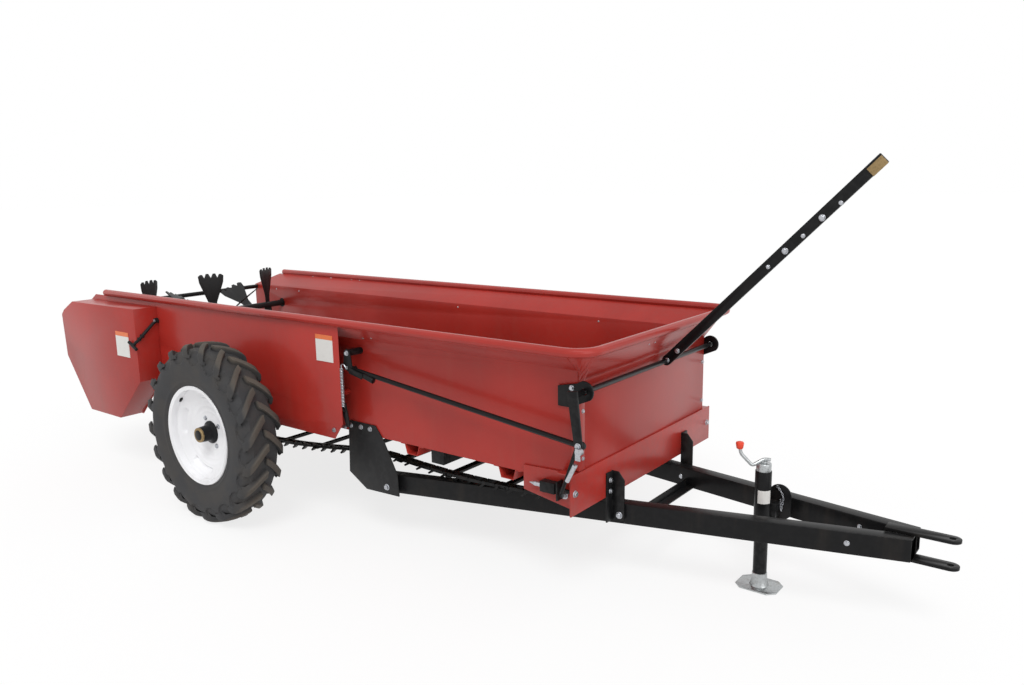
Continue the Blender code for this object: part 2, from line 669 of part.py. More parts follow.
def tyre(name, side):
    width = TYRE_WIDTH / 2
    bead, flange = RIM_RADIUS - 0.0138, RIM_HALF_WIDTH + 0.001
    belly = RIM_RADIUS + (TYRE_RADIUS - RIM_RADIUS) * 0.4633
    outer = [(bead, RIM_HALF_WIDTH - 0.0125), (RIM_RADIUS + 0.001, RIM_HALF_WIDTH - 0.0085),
             (RIM_RADIUS + 0.006, flange), (belly, width), (TYRE_RADIUS - 0.023, width - 0.0145),
             (TYRE_RADIUS, 0.0300)]
    inner = [(bead, RIM_HALF_WIDTH - 0.0300), (RIM_RADIUS + 0.012, RIM_HALF_WIDTH - 0.0180), (belly, width - 0.0185),
             (TYRE_RADIUS - 0.029, 0.0300)]
    profile = outer + [(r, -y) for r, y in reversed(outer)] + [(r, -y) for r, y in inner]
    profile += [(r, y) for r, y in reversed(inner)]
    ring = turned(name, profile, side * TRACK / 2, side, WHEEL_STEPS, z=TYRE_RADIUS)
    return origin_at(finish(ring, "rubber"), (0, side * TRACK / 2, TYRE_RADIUS))


def wheel(name, side):
    """Rim, dished disc and hub of one wheel, bored for the axle."""
    bore = AXLE_RADIUS + 0.001
    rim, half = RIM_RADIUS, RIM_HALF_WIDTH
    outer = [(rim, half), (rim - 0.0040, half - 0.0080), (rim - 0.0142, half - 0.0110), (rim - 0.0150, half - 0.0330),
             (rim - 0.0430, half - 0.0460)]
    inner = [(rim - 0.0190, half - 0.0090), (rim - 0.0195, half - 0.0300), (rim - 0.0475, half - 0.0430)]
    ridge, dish = rim - 0.0680, rim - 0.1180
    front = [(rim - 0.0475, 0.0060), (ridge, -0.0020), (dish, 0.0070), (HUB_RADIUS + 0.0340, -0.0010),
             (HUB_RADIUS, -0.0010), (HUB_RADIUS, 0.0600), (bore, 0.0600)]
    back = [(bore, -0.0450), (HUB_RADIUS, -0.0450), (HUB_RADIUS, -0.0060), (HUB_RADIUS + 0.0340, -0.0060),
            (dish, 0.0020), (ridge, -0.0080), (rim - 0.0475, 0.0000)]
    profile = outer + [(r, -y) for r, y in reversed(outer)] + [(r, -y) for r, y in inner]
    profile += back[::-1] + front[::-1] + list(reversed(inner))
    made = turned(name, profile, side * TRACK / 2, side, WHEEL_STEPS, z=TYRE_RADIUS)
    return origin_at(finish(made, "white_paint"), (0, side * TRACK / 2, TYRE_RADIUS))


# ================================================================ apron
RETURN_SAG = ((0.0400, 0.0145), (0.0909, 0.0225), (0.1455, 0.0275), (0.2000, 0.0295), (0.2618, 0.0245),
              (0.3236, 0.0135), (0.3964, 0.0275), (0.4691, 0.0535), (0.5418, 0.0745), (0.6145, 0.0865),
              (0.6873, 0.0885), (0.7600, 0.0815), (0.8327, 0.0645), (0.9055, 0.0385), (0.9636, 0.0105))


def apron_path():
    """The closed line of the apron chain, seen from the side."""
    top = APRON_SHAFT_HEIGHT + APRON_RADIUS
    foot = APRON_SHAFT_HEIGHT - APRON_RADIUS
    line = [(APRON_REAR, top), (APRON_FRONT, top)]
    for degrees in range(70, -71, -20):
        angle = math.radians(degrees)
        line.append((APRON_FRONT + APRON_RADIUS * math.cos(angle),
                     APRON_SHAFT_HEIGHT + APRON_RADIUS * math.sin(angle)))
    line.append((APRON_FRONT, foot))
    for share, sag in RETURN_SAG:
        line.append((APRON_FRONT + (APRON_REAR - APRON_FRONT) * share, foot - sag))
    for degrees in range(-90, -270, -20):
        angle = math.radians(degrees)
        line.append((APRON_REAR + APRON_RADIUS * math.cos(angle),
                     APRON_SHAFT_HEIGHT + APRON_RADIUS * math.sin(angle)))
    return line


def closed_band(name, line, thickness, low, high):
    """A closed belt: the outline of a loop with a smaller loop of the same shape cut out."""
    outer, inner = [], []
    count = len(line)
    for n in range(count):
        (a, b), (c, d), (e, f) = line[n - 1], line[n], line[(n + 1) % count]
        first = math.hypot(c - a, d - b)
        second = math.hypot(e - c, f - d)
        u = (d - b) / first + (f - d) / second
        v = (a - c) / first + (c - e) / second
        size = thickness / 2 / (u * (f - d) / second + v * (c - e) / second)
        outer.append((c - u * size, d - v * size))
        inner.append((c + u * size, d + v * size))
    return prism(name, outer, "Y", low, high, (inner,))


def apron():
    line = apron_path()
    half = CHAIN_WIDTH / 2
    bands = []
    for side in (RIGHT, LEFT):
        middle = side * APRON_CHAIN_HALF_GAUGE
        bands.append(closed_band("band", line, CHAIN_THICKNESS, middle - half, middle + half))
    loop = bands[0]
    loop.name = "apron"
    weld(loop, bands[1])
    lengths = [math.dist(line[n], line[(n + 1) % len(line)]) for n in range(len(line))]
    total = sum(lengths)
    count = int(total / SLAT_PITCH)
    for slat in range(count):
        travel = total * slat / count + 0.06
        n = 0
        while travel > lengths[n]:
            travel -= lengths[n]
            n = (n + 1) % len(line)
        (a, b), (c, d) = line[n], line[(n + 1) % len(line)]
        share = travel / lengths[n]
        angle = math.atan2(d - b, c - a)
        bar = box("slat", (-0.016, -SLAT_HALF_LENGTH, -0.005), (0.016, SLAT_HALF_LENGTH, SLAT_RISE))
        place = Matrix.Translation((a + (c - a) * share, 0, b + (d - b) * share)) @ Matrix.Rotation(-angle, 4, "Y")
        bar.data.transform(place)
        weld(loop, bar)
    return finish(loop, "black_paint")


def apron_shaft(name, x, low, high, extra):
    shaft = cylinder(name, APRON_SHAFT_RADIUS, (x, low, APRON_SHAFT_HEIGHT), (x, high, APRON_SHAFT_HEIGHT), 20)
    reach = APRON_RADIUS * math.cos(math.radians(10)) - CHAIN_THICKNESS / 2 - GAP
    for side in (RIGHT, LEFT):
        middle = side * APRON_CHAIN_HALF_GAUGE
        weld(shaft, cylinder("sprocket", reach, (x, middle - 0.012, APRON_SHAFT_HEIGHT),
                             (x, middle + 0.012, APRON_SHAFT_HEIGHT), 24))
    for start, end, radius in extra:
        weld(shaft, cylinder("collar", radius, (x, start, APRON_SHAFT_HEIGHT), (x, end, APRON_SHAFT_HEIGHT), 24))
    return finish(shaft, "black_paint")


def drive_chain(name, first, second, low, high):
    """A closed loop of chain round two sprockets, each given as (x, height, radius)."""
    (ax, az, ar), (bx, bz, br) = first, second
    heading = math.atan2(bz - az, bx - ax)
    lean = math.acos((ar - br) / math.hypot(bx - ax, bz - az))
    line = []
    for (cx, cz, radius), start, end in (((ax, az, ar), heading + lean, heading + 2 * math.pi - lean),
                                         ((bx, bz, br), heading - lean, heading + lean)):
        for n in range(13):
            angle = start + (end - start) * n / 12
            line.append((cx + radius * math.cos(angle), cz + radius * math.sin(angle)))
    return finish(closed_band(name, line[::-1], 0.010, low, high), "bare_steel")


# ================================================================ beater
def paddle_outline():
    """Half widths against radius: narrow at the shaft, a fan of four teeth at the tip."""
    tip = BEATER_RADIUS
    right = [(0.020, 0.010), (0.024, 0.060), (0.066, tip - 0.050), (0.070, tip - 0.014)]
    teeth = [(0.058, tip - 0.004), (0.046, tip - 0.004), (0.036, tip - 0.024), (0.026, tip), (0.012, tip),
             (0.000, tip - 0.024)]
    half = right + teeth
    return half + [(-a, b) for a, b in reversed(half[:-1])]


def beater():
    low, high = -(GUARD_FACE - 0.028), BOX_HALF_WIDTH + 0.046
    shaft = cylinder("beater", BEATER_SHAFT, (BEATER_X, low, BEATER_HEIGHT), (BEATER_X, high, BEATER_HEIGHT), 20)
    for n in range(PADDLE_COUNT):
        y = (n - (PADDLE_COUNT - 1) / 2) * PADDLE_PITCH
        for turn in (0, 180):
            blade = prism("blade", paddle_outline(), "Y", -0.0025, 0.0025)
            skew = Matrix.Rotation(math.radians(PADDLE_SKEW if n % 2 else -PADDLE_SKEW), 4, "Z")
            spin = Matrix.Rotation(math.radians(n * PADDLE_TURN + turn), 4, "Y")
            blade.data.transform(Matrix.Translation((BEATER_X, y, BEATER_HEIGHT)) @ spin @ skew)
            weld(shaft, blade)
    for radius, middle in ((BEATER_SPROCKET, MAIN_CHAIN_Y), (BEATER_OUTER_SPROCKET, APRON_CHAIN_Y)):
        near, far = middle - SPROCKET_THICKNESS / 2, middle + SPROCKET_THICKNESS / 2
        weld(shaft, cylinder("sprocket", radius, (BEATER_X, near, BEATER_HEIGHT), (BEATER_X, far, BEATER_HEIGHT), 24))
    return origin_at(finish(shaft, "black_paint"), (BEATER_X, 0, BEATER_HEIGHT))


def beater_bearing(name, side):
    inner = BOX_HALF_WIDTH + GAP
    low, high = sorted((side * inner, side * (inner + BRACKET_THICKNESS)))
    ring_top = BEATER_HEIGHT + BEARING_RADIUS
    top = ring_top + (SIDE_FOLD - ring_top) * 0.2742
    outline = [(BEATER_X - 0.085, BEATER_HEIGHT - 0.060), (BEATER_X + 0.085, BEATER_HEIGHT - 0.060),
               (BEATER_X + 0.085, top), (BEATER_X - 0.085, top)]
    plate = prism(name, outline, "Y", low, high, (circle(BEATER_X, BEATER_HEIGHT, BEATER_SHAFT + 0.001, 24),))
    near, far = sorted((side * (inner + 0.005), side * (inner + 0.026)))
    ring = prism("housing", circle(BEATER_X, BEATER_HEIGHT, BEARING_RADIUS, 24), "Y", near, far,
                 (circle(BEATER_X, BEATER_HEIGHT, BEATER_SHAFT + 0.001, 24),))
    return finish(weld(plate, ring), "black_paint")


def rear_bar():
    reach = BOX_HALF_WIDTH - SHEET - GAP
    bar = cylinder("rear_bar", 0.0125, (REAR_BAR_X, -reach, REAR_BAR_HEIGHT),
                   (REAR_BAR_X, reach, REAR_BAR_HEIGHT), 16)
    return finish(bar, "black_paint")


# ================================================================ jack
def swivel_height():
    return rail_top(JACK_PIVOT_X) - SWIVEL_DROP


def jack_tube_top():
    return swivel_height() + JACK_TUBE_RISE


def jack_tube_foot():
    return swivel_height() - JACK_TUBE_DROP


def jack_mount():
    reach = 0.045
    seat = rail_inner_y(JACK_PIVOT_X + reach, LEFT) - GAP
    sleeve = prism("jack_mount", circle(JACK_PIVOT_X, swivel_height(), SWIVEL_RADIUS, 24), "Y",
                   JACK_PIVOT_Y + BRACKET_THICKNESS + 0.0005, seat - 0.002)
    plate = box("plate", (JACK_PIVOT_X - reach, seat - BRACKET_THICKNESS, rail_top(JACK_PIVOT_X) - 0.070),
                (JACK_PIVOT_X + reach, seat, rail_top(JACK_PIVOT_X) - 0.004))
    return finish(weld(sleeve, plate), "black_paint")


def jack_tube():
    top = jack_tube_top()
    tube = prism("jack_tube", circle(JACK_X, 0.0, JACK_TUBE_RADIUS, 28), "Z", jack_tube_foot(), top,
                 (circle(JACK_X, 0.0, JACK_LEG_RADIUS + 0.0008, 28),))
    cap = prism("cap", circle(JACK_X, 0.0, JACK_TUBE_RADIUS + 0.002, 28), "Z", top - 0.003, top + 0.028,
                (circle(JACK_X, 0.0, 0.0058, 16),))
    swivel = swivel_height()
    arch = [(JACK_PIVOT_X - ARCH_RADIUS, swivel - SWIVEL_RADIUS)]
    for degrees in range(180, -1, -15):
        angle = math.radians(degrees)
        arch.append((JACK_PIVOT_X + ARCH_RADIUS * math.cos(angle),
                     swivel + SWIVEL_RADIUS + ARCH_RADIUS * math.sin(angle)))
    arch.append((JACK_PIVOT_X + ARCH_RADIUS, swivel - SWIVEL_RADIUS))
    plate = prism("arch", arch, "Y", JACK_PIVOT_Y, JACK_PIVOT_Y + BRACKET_THICKNESS)
    web = box("web", (JACK_X - 0.012, JACK_TUBE_RADIUS - 0.003, swivel - 0.025),
              (JACK_X + 0.012, JACK_PIVOT_Y + 0.002, swivel + 0.055))
    return origin_at(finish(weld(tube, cap, web, plate), "black_paint"), (JACK_PIVOT_X, JACK_PIVOT_Y, swivel))


def jack_leg():
    top = jack_tube_foot() + JACK_LEG_HIDDEN
    tube = prism("jack_leg", circle(JACK_X, 0.0, JACK_LEG_RADIUS, 28), "Z", 0.003, top)
    plate = [(-0.076, -0.030), (-0.055, -0.060), (0.055, -0.060), (0.076, -0.030), (0.076, 0.030), (0.055, 0.060),
             (-0.055, 0.060), (-0.076, 0.030)]
    foot = prism("foot", [(JACK_X + a, b) for a, b in plate], "Z", 0.0, JACK_FOOT_THICKNESS)
    cone = prism("cone", circle(JACK_X, 0.0, 0.033, 28), "Z", JACK_FOOT_THICKNESS - 0.002, 0.050)
    return origin_at(finish(weld(tube, foot, cone), "zinc"), (JACK_X, 0, jack_tube_foot()))


def jack_crank():
    top = jack_tube_top() + 0.028
    path = ((0.0, 0.0, -0.038), (0.0, 0.0, 0.014), (-0.030, -0.030, 0.018), (-0.062, -0.050, 0.012),
            (-0.085, -0.052, 0.032), (-0.090, -0.052, 0.045))
    stem = pipe("jack_crank", [(JACK_X + a, b, top + c) for a, b, c in path], 0.0050, 2)
    knob = cylinder("knob", 0.010, (JACK_X - 0.090, -0.052, top + 0.040), (JACK_X - 0.090, -0.052, top + 0.085), 14)
    return origin_at(finish(weld(stem, knob), "zinc"), (JACK_X, 0, top))


# ================================================================ lever and linkage
def shaft_plate(name, side):
    inner = BOX_HALF_WIDTH + GAP
    low, high = sorted((side * inner, side * (inner + 0.008)))
    radius = SHAFT_PLATE_RADIUS
    outline = [(SHAFT_X - 0.104, SHAFT_HEIGHT - 0.061), (SHAFT_X - 0.054, SHAFT_HEIGHT - 0.061)]
    for degrees in range(-45, 136, 15):
        angle = math.radians(degrees)
        outline.append((SHAFT_X + radius * math.cos(angle), SHAFT_HEIGHT + radius * math.sin(angle)))
    outline += [(SHAFT_X - 0.104, SHAFT_HEIGHT + 0.009)]
    hole = circle(SHAFT_X, SHAFT_HEIGHT, SHAFT_RADIUS + 0.001, 20)
    return finish(prism(name, outline, "Y", low, high, (hole,)), "black_paint")


def cross_shaft():
    """The cross shaft with the crank that hangs from its right end."""
    half = CRANK_THICKNESS / 2
    shaft = cylinder("cross_shaft", SHAFT_RADIUS, (SHAFT_X, CRANK_Y - half, SHAFT_HEIGHT),
                     (SHAFT_X, BOX_HALF_WIDTH + 0.028, SHAFT_HEIGHT), 20)
    reach = Vector((CRANK_FOOT_X - SHAFT_X, CRANK_FOOT_HEIGHT - SHAFT_HEIGHT))
    along = reach.normalized()
    across = Vector((-along.y, along.x)) * 0.019
    start = Vector((SHAFT_X, SHAFT_HEIGHT)) - along * 0.016
    end = Vector((CRANK_FOOT_X, CRANK_FOOT_HEIGHT)) + along * 0.016
    outline = [tuple(start - across), tuple(start + across), tuple(end + across * 0.75), tuple(end - across * 0.75)]
    arm = prism("arm", outline, "Y", CRANK_Y - half, CRANK_Y + half)
    return origin_at(finish(weld(shaft, arm), "black_paint"), (SHAFT_X, 0, SHAFT_HEIGHT))


def hand_lever():
    angle = math.radians(LEVER_ANGLE)
    along = Vector((math.cos(angle), math.sin(angle)))
    across = Vector((-along.y, along.x)) * LEVER_DEPTH / 2
    start = Vector((SHAFT_X, SHAFT_HEIGHT))
    end = start + along * LEVER_LENGTH
    outline = [tuple(end + across), tuple(end - across)]
    for degrees in range(0, 181, 30):
        turn = math.radians(degrees)
        outline.append(tuple(start - across * math.cos(turn) - along * math.sin(turn) * LEVER_DEPTH / 2))
    bar = prism("hand_lever", outline, "Y", LEVER_Y - LEVER_THICKNESS / 2, LEVER_Y + LEVER_THICKNESS / 2)
    bore = prism("bore", circle(SHAFT_X, SHAFT_HEIGHT, SHAFT_RADIUS + GAP, 20), "Y", LEVER_Y - 0.1, LEVER_Y + 0.1)
    return origin_at(finish(cut(bar, bore), "black_paint"), (SHAFT_X, 0, SHAFT_HEIGHT))


def push_rod():
    """The long rod on the inner side of the crank, with an eye at each end."""
    side = CRANK_THICKNESS / 2 + PIN_GAP
    y = CRANK_Y + side + ROD_RADIUS
    front = Vector((CRANK_FOOT_X, y, CRANK_FOOT_HEIGHT))
    rear = Vector((BELL_PIN_X, y, BELL_PIN_HEIGHT))
    bar = cylinder("push_rod", ROD_RADIUS, front, rear, 12)
    for end, thickness in ((front, CRANK_THICKNESS), (rear, BELL_THICKNESS)):
        outer = CRANK_Y + thickness / 2 + PIN_GAP
        weld(bar, cylinder("eye", EYE_RADIUS, (end.x, outer, end.z), (end.x, y + ROD_RADIUS, end.z), 16))
    return origin_at(finish(bar, "black_paint"), (CRANK_FOOT_X, CRANK_Y, CRANK_FOOT_HEIGHT))


def bell_crank():
    """The small plate that the rod swings, on its pivot boss beside the box."""
    corners = ((-0.016, 0.010), (0.0, 0.018), (0.016, 0.008), (0.031, -0.067), (0.022, -0.079), (0.008, -0.077),
               (-0.020, -0.063), (-0.024, -0.051))
    outline = [(BELL_X + a, BELL_HEIGHT + b) for a, b in corners]
    plate = prism("bell_crank", outline, "Y", CRANK_Y - BELL_THICKNESS / 2, CRANK_Y + BELL_THICKNESS / 2)
    return origin_at(finish(plate, "black_paint"), (BELL_X, CRANK_Y, BELL_HEIGHT))


def short_link():
    """The screwed link that hangs from the outer side of the crank's foot."""
    y = CRANK_Y - CRANK_THICKNESS / 2 - PIN_GAP - LINK_RADIUS
    top = Vector((CRANK_FOOT_X, y, CRANK_FOOT_HEIGHT))
    foot = Vector((LINK_FOOT_X, y, LINK_FOOT_HEIGHT))
    bar = cylinder("short_link", LINK_RADIUS, top, foot, 12)
    return origin_at(finish(bar, "zinc"), (CRANK_FOOT_X, CRANK_Y, CRANK_FOOT_HEIGHT))


# ================================================================ assembly
def build():
    box_side("box_side_right", RIGHT)
    box_side("box_side_left", LEFT)
    box_front()
    top_rail()
    floor()
    sills()
    front_channel()
    outer_shield()
    chain_guard()
    for word, side in (("right", RIGHT), ("left", LEFT)):
        rail_tube("drawbar_rail_" + word, side)
        gusset("gusset_" + word, side)
        channel_bracket("channel_bracket_" + word, side)
        tyre("tyre_" + word, side)
        wheel("wheel_" + word, side)
        beater_bearing("beater_bearing_" + word, side)
        shaft_plate("shaft_plate_" + word, side)
    frame_strut()
    cross_beam()
    ends = rail_top(STRAP_REAR), TUBE_FRONT_TOP
    hitch_strap("hitch_strap_upper", max(ends) + GAP)
    hitch_strap("hitch_strap_lower", min(ends) - TUBE_HEIGHT - GAP - STRAP_THICKNESS)
    axle()
    apron()
    idler_reach = BOX_HALF_WIDTH + 0.028
    apron_shaft("apron_idler_shaft", APRON_FRONT, -idler_reach, idler_reach, ())
    half = DRIVE_CHAIN_WIDTH / 2
    wheel_place = (APRON_CHAIN_Y - half, APRON_CHAIN_Y + half, APRON_SPROCKET)
    apron_shaft("apron_drive_shaft", APRON_REAR, -(GUARD_FACE - 0.035), BOX_HALF_WIDTH + 0.016, (wheel_place,))
    drive_chain("drive_chain", (0.0, TYRE_RADIUS, MAIN_SPROCKET + 0.0065),
                (BEATER_X, BEATER_HEIGHT, BEATER_SPROCKET + 0.011), MAIN_CHAIN_Y - half, MAIN_CHAIN_Y + half)
    drive_chain("apron_drive_chain", (APRON_REAR, APRON_SHAFT_HEIGHT, APRON_SPROCKET + 0.006),
                (BEATER_X, BEATER_HEIGHT, BEATER_OUTER_SPROCKET + 0.011), APRON_CHAIN_Y - half, APRON_CHAIN_Y + half)
    beater()
    rear_bar()
    jack_mount()
    jack_tube()
    jack_leg()
    jack_crank()
    cross_shaft()
    hand_lever()
    push_rod()
    bell_crank()
    short_link()


def place_over_origin():
    middle = (STRAP_TIP + GUARD_REAR - 0.0130) / 2
    for thing in list(PARTS.objects) + list(CUTTERS.objects):
        thing.location.x -= middle


clear_file()
PARTS = collection("manure_spreader")
CUTTERS = collection("cutters")
build()
place_over_origin()
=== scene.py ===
import math

import bmesh
import bpy
from mathutils import Matrix, Vector


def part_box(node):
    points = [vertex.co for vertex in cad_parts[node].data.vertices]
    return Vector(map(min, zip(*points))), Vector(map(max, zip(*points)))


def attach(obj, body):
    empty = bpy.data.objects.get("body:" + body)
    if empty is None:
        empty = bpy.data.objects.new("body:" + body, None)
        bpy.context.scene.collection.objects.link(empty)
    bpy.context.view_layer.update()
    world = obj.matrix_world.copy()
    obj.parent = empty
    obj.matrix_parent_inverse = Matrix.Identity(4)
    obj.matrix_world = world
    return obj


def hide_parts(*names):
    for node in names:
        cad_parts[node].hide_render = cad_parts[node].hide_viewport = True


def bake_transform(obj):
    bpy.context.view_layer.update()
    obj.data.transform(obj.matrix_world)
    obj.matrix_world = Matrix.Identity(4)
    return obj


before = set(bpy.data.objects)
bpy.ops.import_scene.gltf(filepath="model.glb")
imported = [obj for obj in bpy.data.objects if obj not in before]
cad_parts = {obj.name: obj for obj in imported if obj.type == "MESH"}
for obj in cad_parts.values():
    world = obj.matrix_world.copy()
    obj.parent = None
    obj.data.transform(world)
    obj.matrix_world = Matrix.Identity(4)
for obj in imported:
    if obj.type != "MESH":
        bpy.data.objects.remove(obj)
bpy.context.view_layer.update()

bl_info = {
    "name": "Manure spreader",
    "version": (1, 0, 0),
    "blender": (4, 5, 0),
    "location": "3D View > Sidebar > Spreader",
    "description": "Builds the looks of a ground-driven manure spreader on its CAD frame",
    "category": "Object",
}

RIGHT = -1
LEFT = 1
SIDES = (("right", RIGHT), ("left", LEFT))


# ---------------------------------------------------------------- places taken from the frame
def middle(node):
    low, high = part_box(node)
    return (low + high) / 2


AXLE = middle("axle")


def at(x, y, z):
    """A place whose X is measured from the wheel axle."""
    return Vector((x + AXLE.x, y, z))


def linear(*channels):
    """A colour given as it looks on a screen, for use in a shader."""
    return tuple(((c / 255 + 0.055) / 1.055) ** 2.4 if c > 10 else c / 255 / 12.92 for c in channels)


# ---------------------------------------------------------------- sizes and colours a user may change
def length(label, about, default):
    return bpy.props.FloatProperty(name=label, description=about, default=default, unit="LENGTH", precision=4)


def colour(label, about, default):
    return bpy.props.FloatVectorProperty(name=label, description=about, default=default, size=3, min=0.0, max=1.0,
                                         subtype="COLOR")


class SpreaderSizes(bpy.types.PropertyGroup):
    """Sizes of the detail that is laid over the frame."""
    edge: length("Sheet edge", "Rounding of the sheet steel edges", 0.0012)
    plate_edge: length("Plate edge", "Rounding of the thick plates and tubes", 0.0022)
    lugs: bpy.props.IntProperty(name="Lugs", description="Lugs on each half of a tyre", default=20, min=8, max=40)
    link_pitch: length("Link pitch", "Pitch of the hooked apron chain", 0.067)
    roller_pitch: length("Roller pitch", "Pitch of the drive chains", 0.0254)
    bolt: length("Bolt", "Radius of a common bolt head", 0.0085)
    planks: bpy.props.IntProperty(name="Planks", description="Planks in the floor", default=6, min=1, max=12)


class SpreaderColours(bpy.types.PropertyGroup):
    """Colours of the finishes."""
    red: colour("Red paint", "Paint of the box, shield and guard", linear(166, 44, 36))
    black: colour("Black paint", "Paint of the frame, lever and apron", linear(20, 20, 21))
    white: colour("Wheel paint", "Paint of the wheel discs", linear(238, 238, 240))
    rubber: colour("Rubber", "Tyre rubber", linear(47, 47, 49))
    zinc: colour("Zinc plate", "Plated jack, rod and bolts", linear(172, 175, 176))
    steel: colour("Chain steel", "Oiled drive chain", linear(96, 92, 88))
    boards: colour("Floor boards", "Boards of the bed", linear(150, 122, 90))
    knob: colour("Jack knob", "Knob on the jack's crank", linear(232, 74, 48))


def sizes():
    return bpy.context.scene.spreader_sizes


def colours():
    return bpy.context.scene.spreader_colours


# ---------------------------------------------------------------- node trees
class Wire:
    """An output socket that can be used in ordinary arithmetic."""

    def __init__(self, recipe, socket):
        self.recipe, self.socket = recipe, socket

    def math(self, operation, other=None, flip=False):
        first, second = (other, self) if flip else (self, other)
        inputs = {0: first} if second is None else {0: first, 1: second}
        return self.recipe.out("ShaderNodeMath", {"operation": operation}, inputs)

    def __add__(self, other):
        return self.math("ADD", other)

    def __radd__(self, other):
        return self.math("ADD", other)

    def __sub__(self, other):
        return self.math("SUBTRACT", other)

    def __rsub__(self, other):
        return self.math("SUBTRACT", other, flip=True)

    def __mul__(self, other):
        return self.math("MULTIPLY", other)

    def __rmul__(self, other):
        return self.math("MULTIPLY", other)

    def __truediv__(self, other):
        return self.math("DIVIDE", other)

    def clamped(self):
        return self.recipe.out("ShaderNodeClamp", {}, {"Value": self})

    def smooth(self, low, high):
        return self.recipe.out("ShaderNodeMapRange", {"interpolation_type": "SMOOTHSTEP"},
                               {"Value": self, "From Min": low, "From Max": high})


class Recipe:
    """A node tree being put together."""

    def __init__(self, tree):
        self.tree = tree

    def join(self, value, socket):
        if isinstance(value, Wire):
            self.tree.links.new(value.socket, socket)
        else:
            socket.default_value = value

    def add(self, kind, settings=None, inputs=None):
        node = self.tree.nodes.new(kind)
        for key, value in (settings or {}).items():
            if key == "stops":
                ramp = node.color_ramp
                while len(ramp.elements) < len(value):
                    ramp.elements.new(0.5)
                for element, (place, shade) in zip(ramp.elements, value):
                    element.position = place
                    element.color = (*shade, 1.0)
            else:
                setattr(node, key, value)
        for key, value in (inputs or {}).items():
            self.join(value, node.inputs[key])
        return node

    def out(self, kind, settings=None, inputs=None, output=0):
        return Wire(self, self.add(kind, settings, inputs).outputs[output])

    def noise(self, place, scale, detail=3.0, roughness=0.55):
        return self.out("ShaderNodeTexNoise", {}, {"Vector": place, "Scale": scale, "Detail": detail,
                                                   "Roughness": roughness})

    def stretched(self, place, scale, turn=(0.0, 0.0, 0.0)):
        return self.out("ShaderNodeMapping", {}, {"Vector": place, "Scale": scale, "Rotation": turn})

    def mix(self, share, first, second):
        return self.out("ShaderNodeMix", {"data_type": "RGBA"}, {0: share, 6: first, 7: second}, 2)


def shade(tone, factor):
    return (*[min(1.0, c * factor) for c in tone], 1.0)


def new_finish(name):
    made = bpy.data.materials.new(name)
    made.use_nodes = True
    recipe = Recipe(made.node_tree)
    shader = made.node_tree.nodes["Principled BSDF"]
    place = recipe.out("ShaderNodeTexCoord", {}, {}, "Object")
    return made, recipe, shader, place


def paint(name, tone, roughness, coat, dust=0.10, wear=0.12, ripple=0.25, gloss=0.32, chip=(0.10, 0.09, 0.085)):
    """Sprayed paint on steel: faint mottling, settled dust, scuffed edges and a little orange peel."""
    made, recipe, shader, place = new_finish(name)
    broad = recipe.noise(place, 2.3, 4.0)
    grain = recipe.noise(place, 46.0, 3.0)
    streaks = recipe.noise(recipe.stretched(place, (9.0, 9.0, 1.2)), 2.0, 4.0)
    mottled = recipe.mix(broad.smooth(0.35, 0.65), shade(tone, 0.90), shade(tone, 1.07))
    height = recipe.out("ShaderNodeSeparateXYZ", {}, {"Vector": place}, 2)
    low = 1.0 - height.smooth(0.05, 0.75)
    grime = (streaks.smooth(0.48, 0.78) * (0.35 + low) * dust).clamped()
    dusty = recipe.mix(grime, mottled, (*linear(128, 112, 98), 1.0))
    ridge = recipe.out("ShaderNodeNewGeometry", {}, {}, "Pointiness")
    worn = (ridge.smooth(0.53, 0.60) * grain.smooth(0.42, 0.62) * wear).clamped()
    made_tone = recipe.mix(worn, dusty, (*chip, 1.0))
    recipe.join(made_tone, shader.inputs["Base Color"])
    rough = roughness + (broad - 0.5) * 0.16 + grime * 0.35 + worn * 0.2
    recipe.join(rough.clamped(), shader.inputs["Roughness"])
    shader.inputs["Specular IOR Level"].default_value = gloss
    shader.inputs["Coat Weight"].default_value = coat
    shader.inputs["Coat Roughness"].default_value = 0.12
    peel = recipe.noise(place, 420.0, 1.0) * 0.25 + recipe.noise(place, 5.0, 2.0) * ripple * 6.0
    normal = recipe.out("ShaderNodeBump", {}, {"Height": peel, "Strength": 0.22, "Distance": 0.0012})
    recipe.join(normal, shader.inputs["Normal"])
    return made


def metal(name, tone, roughness, stain, spots=0.3, metallic=0.9):
    """Plated or oiled steel with cloudy spangle and a little staining."""
    made, recipe, shader, place = new_finish(name)
    spangle = recipe.out("ShaderNodeTexVoronoi", {}, {"Vector": place, "Scale": 120.0}, "Distance")
    cloud = recipe.noise(place, 26.0, 4.0)
    body = recipe.mix(spangle.smooth(0.1, 0.7), shade(tone, 0.88), shade(tone, 1.10))
    stained = (cloud.smooth(0.56, 0.74) * spots).clamped()
    recipe.join(recipe.mix(stained, body, (*stain, 1.0)), shader.inputs["Base Color"])
    recipe.join((roughness + cloud * 0.22 - 0.08 + stained * 0.3).clamped(), shader.inputs["Roughness"])
    recipe.join((metallic - stained * 0.5).clamped(), shader.inputs["Metallic"])
    grain = recipe.noise(place, 320.0, 2.0)
    recipe.join(recipe.out("ShaderNodeBump", {}, {"Height": grain, "Strength": 0.12, "Distance": 0.0006}),
                shader.inputs["Normal"])
    return made


